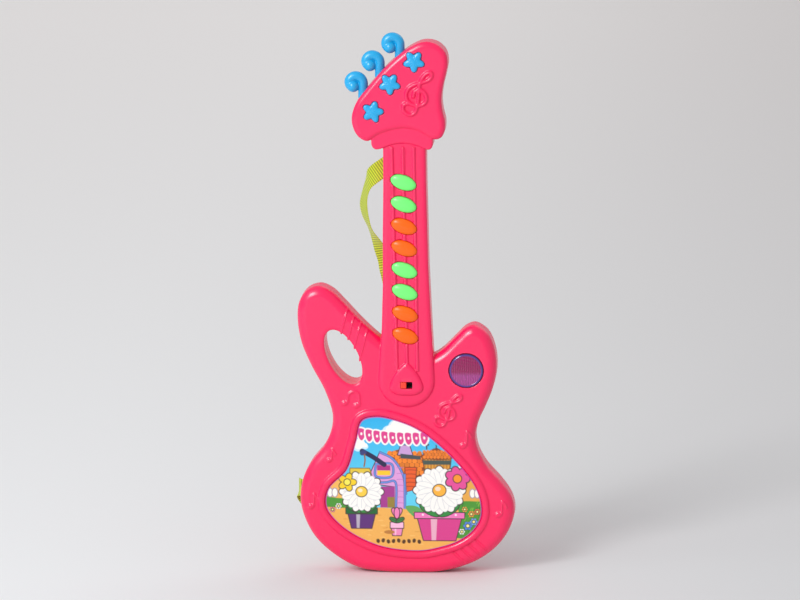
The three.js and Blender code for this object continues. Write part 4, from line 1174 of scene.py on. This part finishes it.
def planters(ink, white, line):
    """Three potted flowers: two large white daisies and a small pink tulip."""
    shade, green = srgb(206, 208, 214), srgb(48, 138, 62)
    for x, foot, top, wide in ((-36.7, 53, 64, 1.2), (28.4, 52, 66, 1.5), (-7.2, 40, 50, 0.7)):
        ink.stroke([(x, foot), (x + 0.6, (foot + top) / 2), (x, top)], wide, green)
    flower_pot(ink, -36.7, 38.5, 23, 13.5, srgb(92, 44, 118), srgb(28, 104, 50), line)
    leaves(ink, -36.7, 56.0, 7.5, green, line)
    bloom(ink, -36.7, 69.4, 17.8, 10, white, shade, srgb(250, 206, 70), line)
    daisy(ink, -48.6, 77.4, 7.2, 5, srgb(246, 208, 34), srgb(250, 236, 90), line)
    flower_pot(ink, 28.4, 28.5, 37, 20, srgb(216, 62, 140), srgb(240, 120, 186), line)
    for x in (14.5, 20, 25.5, 31, 36.5, 42):
        ink.disc(x, 50.2, 0.9, 0.9, srgb(255, 226, 240))
    leaves(ink, 28.4, 54.5, 9.5, green, line)
    bloom(ink, 28.4, 71.0, 21.0, 12, white, shade, srgb(250, 180, 60), line)
    daisy(ink, 43.5, 81.0, 9.6, 7, srgb(228, 78, 152), srgb(250, 150, 40), line)
    flower_pot(ink, -7.2, 32.5, 9.5, 7.5, srgb(240, 140, 190), srgb(250, 190, 220), line)
    leaves(ink, -7.2, 45.5, 3.4, green, line)
    for tilt in (1.0, 2.14, 1.57):
        ink.disc(-7.2 + 2.2 * math.cos(tilt), 51.5, 4.4, 2.0, srgb(240, 130, 186), tilt, line=line)


def print_garden(ink):
    """A village garden: sky, bunting, a gabled cottage, a round tower, two planters and a sandy yard."""
    p = ink.points
    white, line = srgb(248, 247, 242), srgb(62, 52, 50)
    height = np.clip((p[:, 1] - 70) / 60, 0, 1)[:, None]
    ink.ink = srgb(96, 208, 240) * (1 - height) + srgb(42, 178, 234) * height
    for x, z, size in ((-3, 121, 11), (-40, 108, 6.5), (50, 88, 6), (-58, 84, 4)):
        cloud(ink, x, z, size, srgb(206, 236, 248))
        cloud(ink, x + 0.6, z + 1.2, size * 0.86, white)
    sand, grass = srgb(240, 178, 88), srgb(74, 150, 50)
    ink.shape([(-80, 76), (-58, 80), (-46, 76), (-38, 70), (-38, 10), (-80, 10)], srgb(244, 184, 92))
    ink.shape([(44, 82), (54, 80), (72, 72), (72, 10), (40, 10)], srgb(232, 170, 74))
    ink.shape([(-80, 66), (-58, 64), (-44, 62), (-44, 52), (-80, 50)], grass)
    for x in (-63, -59, 56, 60):
        ink.disc(x, 68.5, 2.0, 3.4, srgb(250, 250, 240), line=srgb(160, 150, 170))
    cottage(ink, line)
    round_tower(ink)
    ink.shape([(-80, 53), (-50, 55.5), (-20, 56), (4, 55), (40, 57), (80, 50), (80, 5), (-80, 5)], sand)
    ink.shape([(44, 60), (56, 62), (72, 58), (72, 30), (50, 30), (40, 32), (46, 44)], grass)
    ink.shape([(0, 57), (10, 57), (16, 50), (8, 48)], srgb(96, 168, 88))
    for i in range(70):
        x, z = rng.uniform(-60, 60), rng.uniform(22, 54)
        shade = srgb(224, 156, 70) if i % 2 else srgb(248, 196, 112)
        if x < 44:
            ink.disc(x, z, rng.uniform(0.8, 2.6), 0.35, shade)
    for i in range(34):
        x, z = rng.uniform(46, 64), rng.uniform(34, 60)
        blade = srgb(128, 190, 60) if i % 2 else srgb(40, 110, 40)
        ink.stroke([(x, z), (x + 0.5, z + 1.6), (x + 1.0, z + 2.6)], 0.3, blade)
    bunting(ink, srgb(222, 62, 140), white)
    planters(ink, white, line)
    small_flowers = (
        (52, 41, 3.6, (86, 132, 220)), (57, 44.5, 3.0, (120, 160, 232)), (55, 51, 2.6, (246, 150, 50)),
        (49.5, 55, 2.2, (250, 170, 60)), (60, 53, 2.4, (246, 110, 60)), (47, 36, 2.4, (250, 250, 245)),
        (-56, 57, 2.4, (250, 250, 245)), (-61, 54, 2.2, (250, 120, 160)),
    )
    for x, z, size, color in small_flowers:
        daisy(ink, x, z, size, 6, srgb(*color), srgb(255, 240, 150), srgb(60, 90, 60))
    for i in range(9):
        ink.disc(-23 + 4.3 * i, 27.6 + 0.5 * math.sin(2.1 * i), 1.5, 1.9, srgb(84, 54, 30), 0.3 * (-1) ** i)
    ink.disc(-13.5, 35.2, 4.4, 1.6, srgb(186, 124, 58))


def make_label(material_of_inks):
    """The printed sheet, fine enough for its inks to be carried by its points."""
    loop = smooth_loop(LABEL_POINTS, 44)
    middle = np.array((-3.0, 68.0))
    rings = 190
    share = np.linspace(0, 1, rings + 1)[1:]
    flat = middle + share[:, None, None] * (loop - middle)[None]
    front_y = BODY["front"] + 0.05
    thick = 0.24
    count = len(loop)
    flat = np.vstack([middle[None], flat.reshape(-1, 2)])
    ink = Print(flat, np.ones(3))
    print_garden(ink)
    border = np.concatenate([[40.0], np.repeat((1 - share) * 58, count)])
    ink.lay(border - 0.7, srgb(196, 60, 170), 0.6)
    dots = rng.normal(0, 1, len(flat))[:, None]
    inks = np.clip(ink.ink * (1 + 0.018 * dots), 0, 1)
    front = np.column_stack([flat[:, 0], np.full(len(flat), front_y), flat[:, 1]])
    edge = front[-count:] + (0, thick, 0)
    points = np.vstack([front, edge, [(middle[0], front_y + thick, middle[1])]])
    around = np.arange(count)
    after = (around + 1) % count
    quads = ring_quads(count, rings + 1, 1)
    fan = np.column_stack([1 + after, 1 + around, np.zeros(count, int)])
    last = 1 + rings * count
    back = np.column_stack([last + around, last + after, np.full(count, len(points) - 1)])
    label = add_object("garden_print", points, [quads, fan, back], "case")
    colors = np.ones((len(points), 4))
    colors[:len(flat), :3] = inks
    colors[len(flat):, :3] = (0.85, 0.85, 0.82)
    layer = label.data.color_attributes.new("ink", "FLOAT_COLOR", "POINT")
    layer.data.foreach_set("color", colors.ravel())
    if label.data.polygons[0].normal.y > 0:
        label.data.flip_normals()
    dress(label, material_of_inks, "picture_label")


def printed_paper():
    """Glossy laminated print whose colour is carried by the sheet."""
    paint = Paint("label_print")
    ink = paint.add("VertexColor", {}, "Color", layer_name="ink")
    ripple = paint.bump(paint.noise(paint.place(), 60, 3), 0.12, 0.0003)
    return paint.finished({"Base Color": ink, "Normal": ripple, "Roughness": 0.32})


# ------------------------------------------------------------------ strap
STRAP_WIDTH, STRAP_THICK = 15.0, 1.2
# Centre line with the direction of the width, from the slit in the neck to the slit in the body's side.
STRAP_ROUTE = [
    ((-11.5, 2.2, 344.8), (-0.57, 0, 0.82)), ((-16.8, 2.2, 341.2), (-0.57, 0, 0.82)),
    ((-22.6, 3.2, 337), (-0.57, 0.12, 0.8)), ((-27.4, 5.4, 332.6), (-0.6, 0.5, 0.62)),
    ((-30.8, 8.4, 326.6), (-0.42, 0.88, 0.2)), ((-34, 11.6, 317), (-0.38, 0.92, 0)),
    ((-35.4, 14, 306), (-0.47, 0.88, 0)), ((-33.8, 15.8, 296), (-0.42, 0.9, 0)),
    ((-30.4, 17.4, 286.6), (-0.3, 0.95, 0)), ((-26, 18.8, 277.5), (-0.55, 0.83, 0)),
    ((-21.8, 20.2, 268), (-0.8, 0.6, 0)), ((-17.8, 21.7, 258), (-0.92, 0.4, 0)),
    ((-14.4, 23.4, 246), (-0.95, -0.25, 0)), ((-11.4, 25, 226), (-1, 0, 0)),
    ((-10.6, 26.2, 200), (-1, 0, -0.05)), ((-12.6, 27, 172), (-1, 0, -0.1)),
    ((-18, 27.6, 144), (-1, -0.05, -0.2)), ((-26.4, 28.2, 117), (-0.9, -0.35, -0.3)),
    ((-36.4, 28.8, 92), (-0.65, -0.75, -0.2)), ((-44.4, 29.4, 69), (-0.3, -0.95, -0.1)),
    ((-51.4, 29.6, 50), (-0.05, -1, 0)), ((-61, 29.4, 39.5), (0, -1, 0)),
    ((-71.4, 28.8, 39.5), (0, -1, -0.2)), ((-80, 27.6, 47.5), (-0.2, -0.7, -0.7)),
    ((-86.4, 25, 57), (-0.3, -0.2, -0.95)), ((-90.2, 20.6, 64), (-0.1, 0, -1)),
    ((-91, 15.6, 67), (0, 0, -1)), ((-89.6, 9.8, 67.5), (0, 0, -1)), ((-85.5, 8.4, 67.5), (0, 0, -1)),
    ((-82.5, 8.4, 67.5), (0, 0, -1)),
]


def make_strap(webbing):
    """Polypropylene webbing: rounded selvedges, a rib for every weft pick, and painted light and shade on
    alternate picks.
    """
    centre = open_curve([at for at, _ in STRAP_ROUTE], 40)
    width = open_curve([np.array(w) / np.linalg.norm(w) for _, w in STRAP_ROUTE], 40)
    gone = np.concatenate([[0], np.cumsum(np.linalg.norm(np.diff(centre, axis=0), axis=1))])
    long = gone[-1]
    picks = int(long / 1.05)
    even = np.linspace(0, long, picks)
    centre = np.column_stack([np.interp(even, gone, centre[:, k]) for k in range(3)])
    width = np.column_stack([np.interp(even, gone, width[:, k]) for k in range(3)])
    along = np.gradient(centre, axis=0)
    along /= np.linalg.norm(along, axis=1)[:, None]
    width -= (width * along).sum(1)[:, None] * along
    width /= np.linalg.norm(width, axis=1)[:, None]
    face = np.cross(along, width)
    across = 21
    half = STRAP_WIDTH / 2
    u = np.linspace(-1, 1, across)
    thick = STRAP_THICK / 2 * (1 - 0.75 * np.abs(u) ** 8)
    top = np.column_stack([u * half, thick])
    section = np.vstack([top, top[::-1] * (1, -1)])
    ring = len(section)
    pick = np.where(np.arange(picks) % 2 == 0, 1.0, 0.60)
    column = np.where(np.arange(ring) % 2 == 0, 0.05, -0.05)
    points = []
    for i in range(picks):
        swell = pick[i] + (column if i % 4 < 2 else -column)
        a = section[:, 0][:, None] * width[i]
        b = (section[:, 1] * swell)[:, None] * face[i]
        points.append(centre[i] + a + b)
    caps = []
    for base in (0, (picks - 1) * ring):
        for k in range(across - 1):
            quad = [base + k, base + k + 1, base + ring - 2 - k, base + ring - 1 - k]
            caps.append(quad if base else quad[::-1])
    faces = [ring_quads(ring, picks), np.array(caps)]
    strap = add_object("webbing_strap", np.vstack(points), faces, "case")
    # Painted light and shade: every other weft pick is painted lighter and the picks between darker.
    layer = strap.data.color_attributes.new("rib_painted_light_and_shade", "FLOAT_COLOR", "POINT")
    shade = np.repeat(np.where(np.arange(picks) % 2 == 0, 1.2, 0.3), ring)
    layer.data.foreach_set("color", np.column_stack([shade, shade, shade, np.ones(len(shade))]).ravel())
    dress(strap, webbing, "strap")


def woven(name, color):
    """Coarse plastic yarn under a fine fuzz; the weft bars are painted light and shade, carried by the strap.
    """
    paint = Paint(name)
    fuzz = paint.noise(paint.place(), 700, 4)
    tint = paint.mix(fuzz, (*(color * 0.72), 1), (*np.minimum(color * 1.15, 1), 1))
    rib_painted_light_and_shade = paint.add("VertexColor", {}, "Color", layer_name="rib_painted_light_and_shade")
    return paint.finished({
        "Base Color": paint.mix(1.0, tint, rib_painted_light_and_shade, "MULTIPLY"),
        "Normal": paint.bump(fuzz, 0.5, 0.0003),
        "Roughness": 0.62,
        "Sheen Weight": 0.25,
    })


# ------------------------------------------------------------------ finish for the remaining CAD pieces
def metal(name, color, roughness):
    paint = Paint(name)
    smudge = {"To Min": roughness * 0.7, "To Max": roughness * 1.4}
    rough = paint.ranged(paint.noise(paint.place(), 260, 5), smudge)
    return paint.finished({"Base Color": (*color, 1), "Metallic": 1.0, "Roughness": rough})


def paint_inner_pieces():
    """New materials for the pieces that keep their CAD meshes."""
    plastics = (
        ("circuit_board", (0.03, 0.17, 0.06), 0.45, ["key_board", "star_board", "main_board"]),
        ("contact_rubber", (0.33, 0.33, 0.32), 0.7, ["key_rubber_pad", "star_rubber_pad"]),
        ("cable_grey", (0.45, 0.45, 0.46), 0.5, ["neck_cable", "head_cable"]),
        # The switch body takes this black as painted shade: the dark seen in the switch window is shade.
        ("paper_black", (0.035, 0.012, 0.012), 0.7, ["sound_chip", "speaker_cone", "switch_body"]),
        ("cell_jacket", (0.03, 0.16, 0.3), 0.35, [f"battery_cell_{i}" for i in (1, 2, 3)]),
        ("led_clear", (0.8, 0.8, 0.76), 0.1, ["lamp_led"]),
    )
    inner = [(moulded_plastic(name, color, roughness), names) for name, color, roughness, names in plastics]
    plated = ["speaker_frame", "speaker_magnet"] + [f"battery_contact_{i}" for i in (1, 2, 3, 4)]
    inner.append((metal("plated_steel", (0.62, 0.62, 0.63), 0.3), plated))
    for material, names in inner:
        for name in names:
            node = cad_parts[name]
            node.data.materials.clear()
            node.data.materials.append(material)


# ------------------------------------------------------------------ build
make_camera()
make_strap(woven("webbing", srgb(202, 218, 30)))
make_stage()
maps.update(make_maps())
pink = moulded_plastic("case_pink", srgb(249, 14, 91), 0.24)
green = moulded_plastic("key_green", srgb(120, 255, 124), 0.26, specular=0.5)
orange = moulded_plastic("key_orange", srgb(255, 104, 0), 0.26, specular=0.4)
blue = moulded_plastic("trim_blue", srgb(12, 167, 226), 0.26)
purple = tinted_lens(to_frame((lens_spot[0], BODY["front"] - 1.4, lens_spot[2])))
red = moulded_plastic("knob_red", srgb(255, 52, 16), 0.4)
steel = metal("screw_steel", (0.55, 0.55, 0.57), 0.32)
make_case(pink)
make_cover(pink)
make_keys(green, orange)
make_stars(blue)
make_pegs(blue)
make_lens(purple)
make_switch(red)
make_screws(steel)
make_label(printed_paper())
paint_inner_pieces()
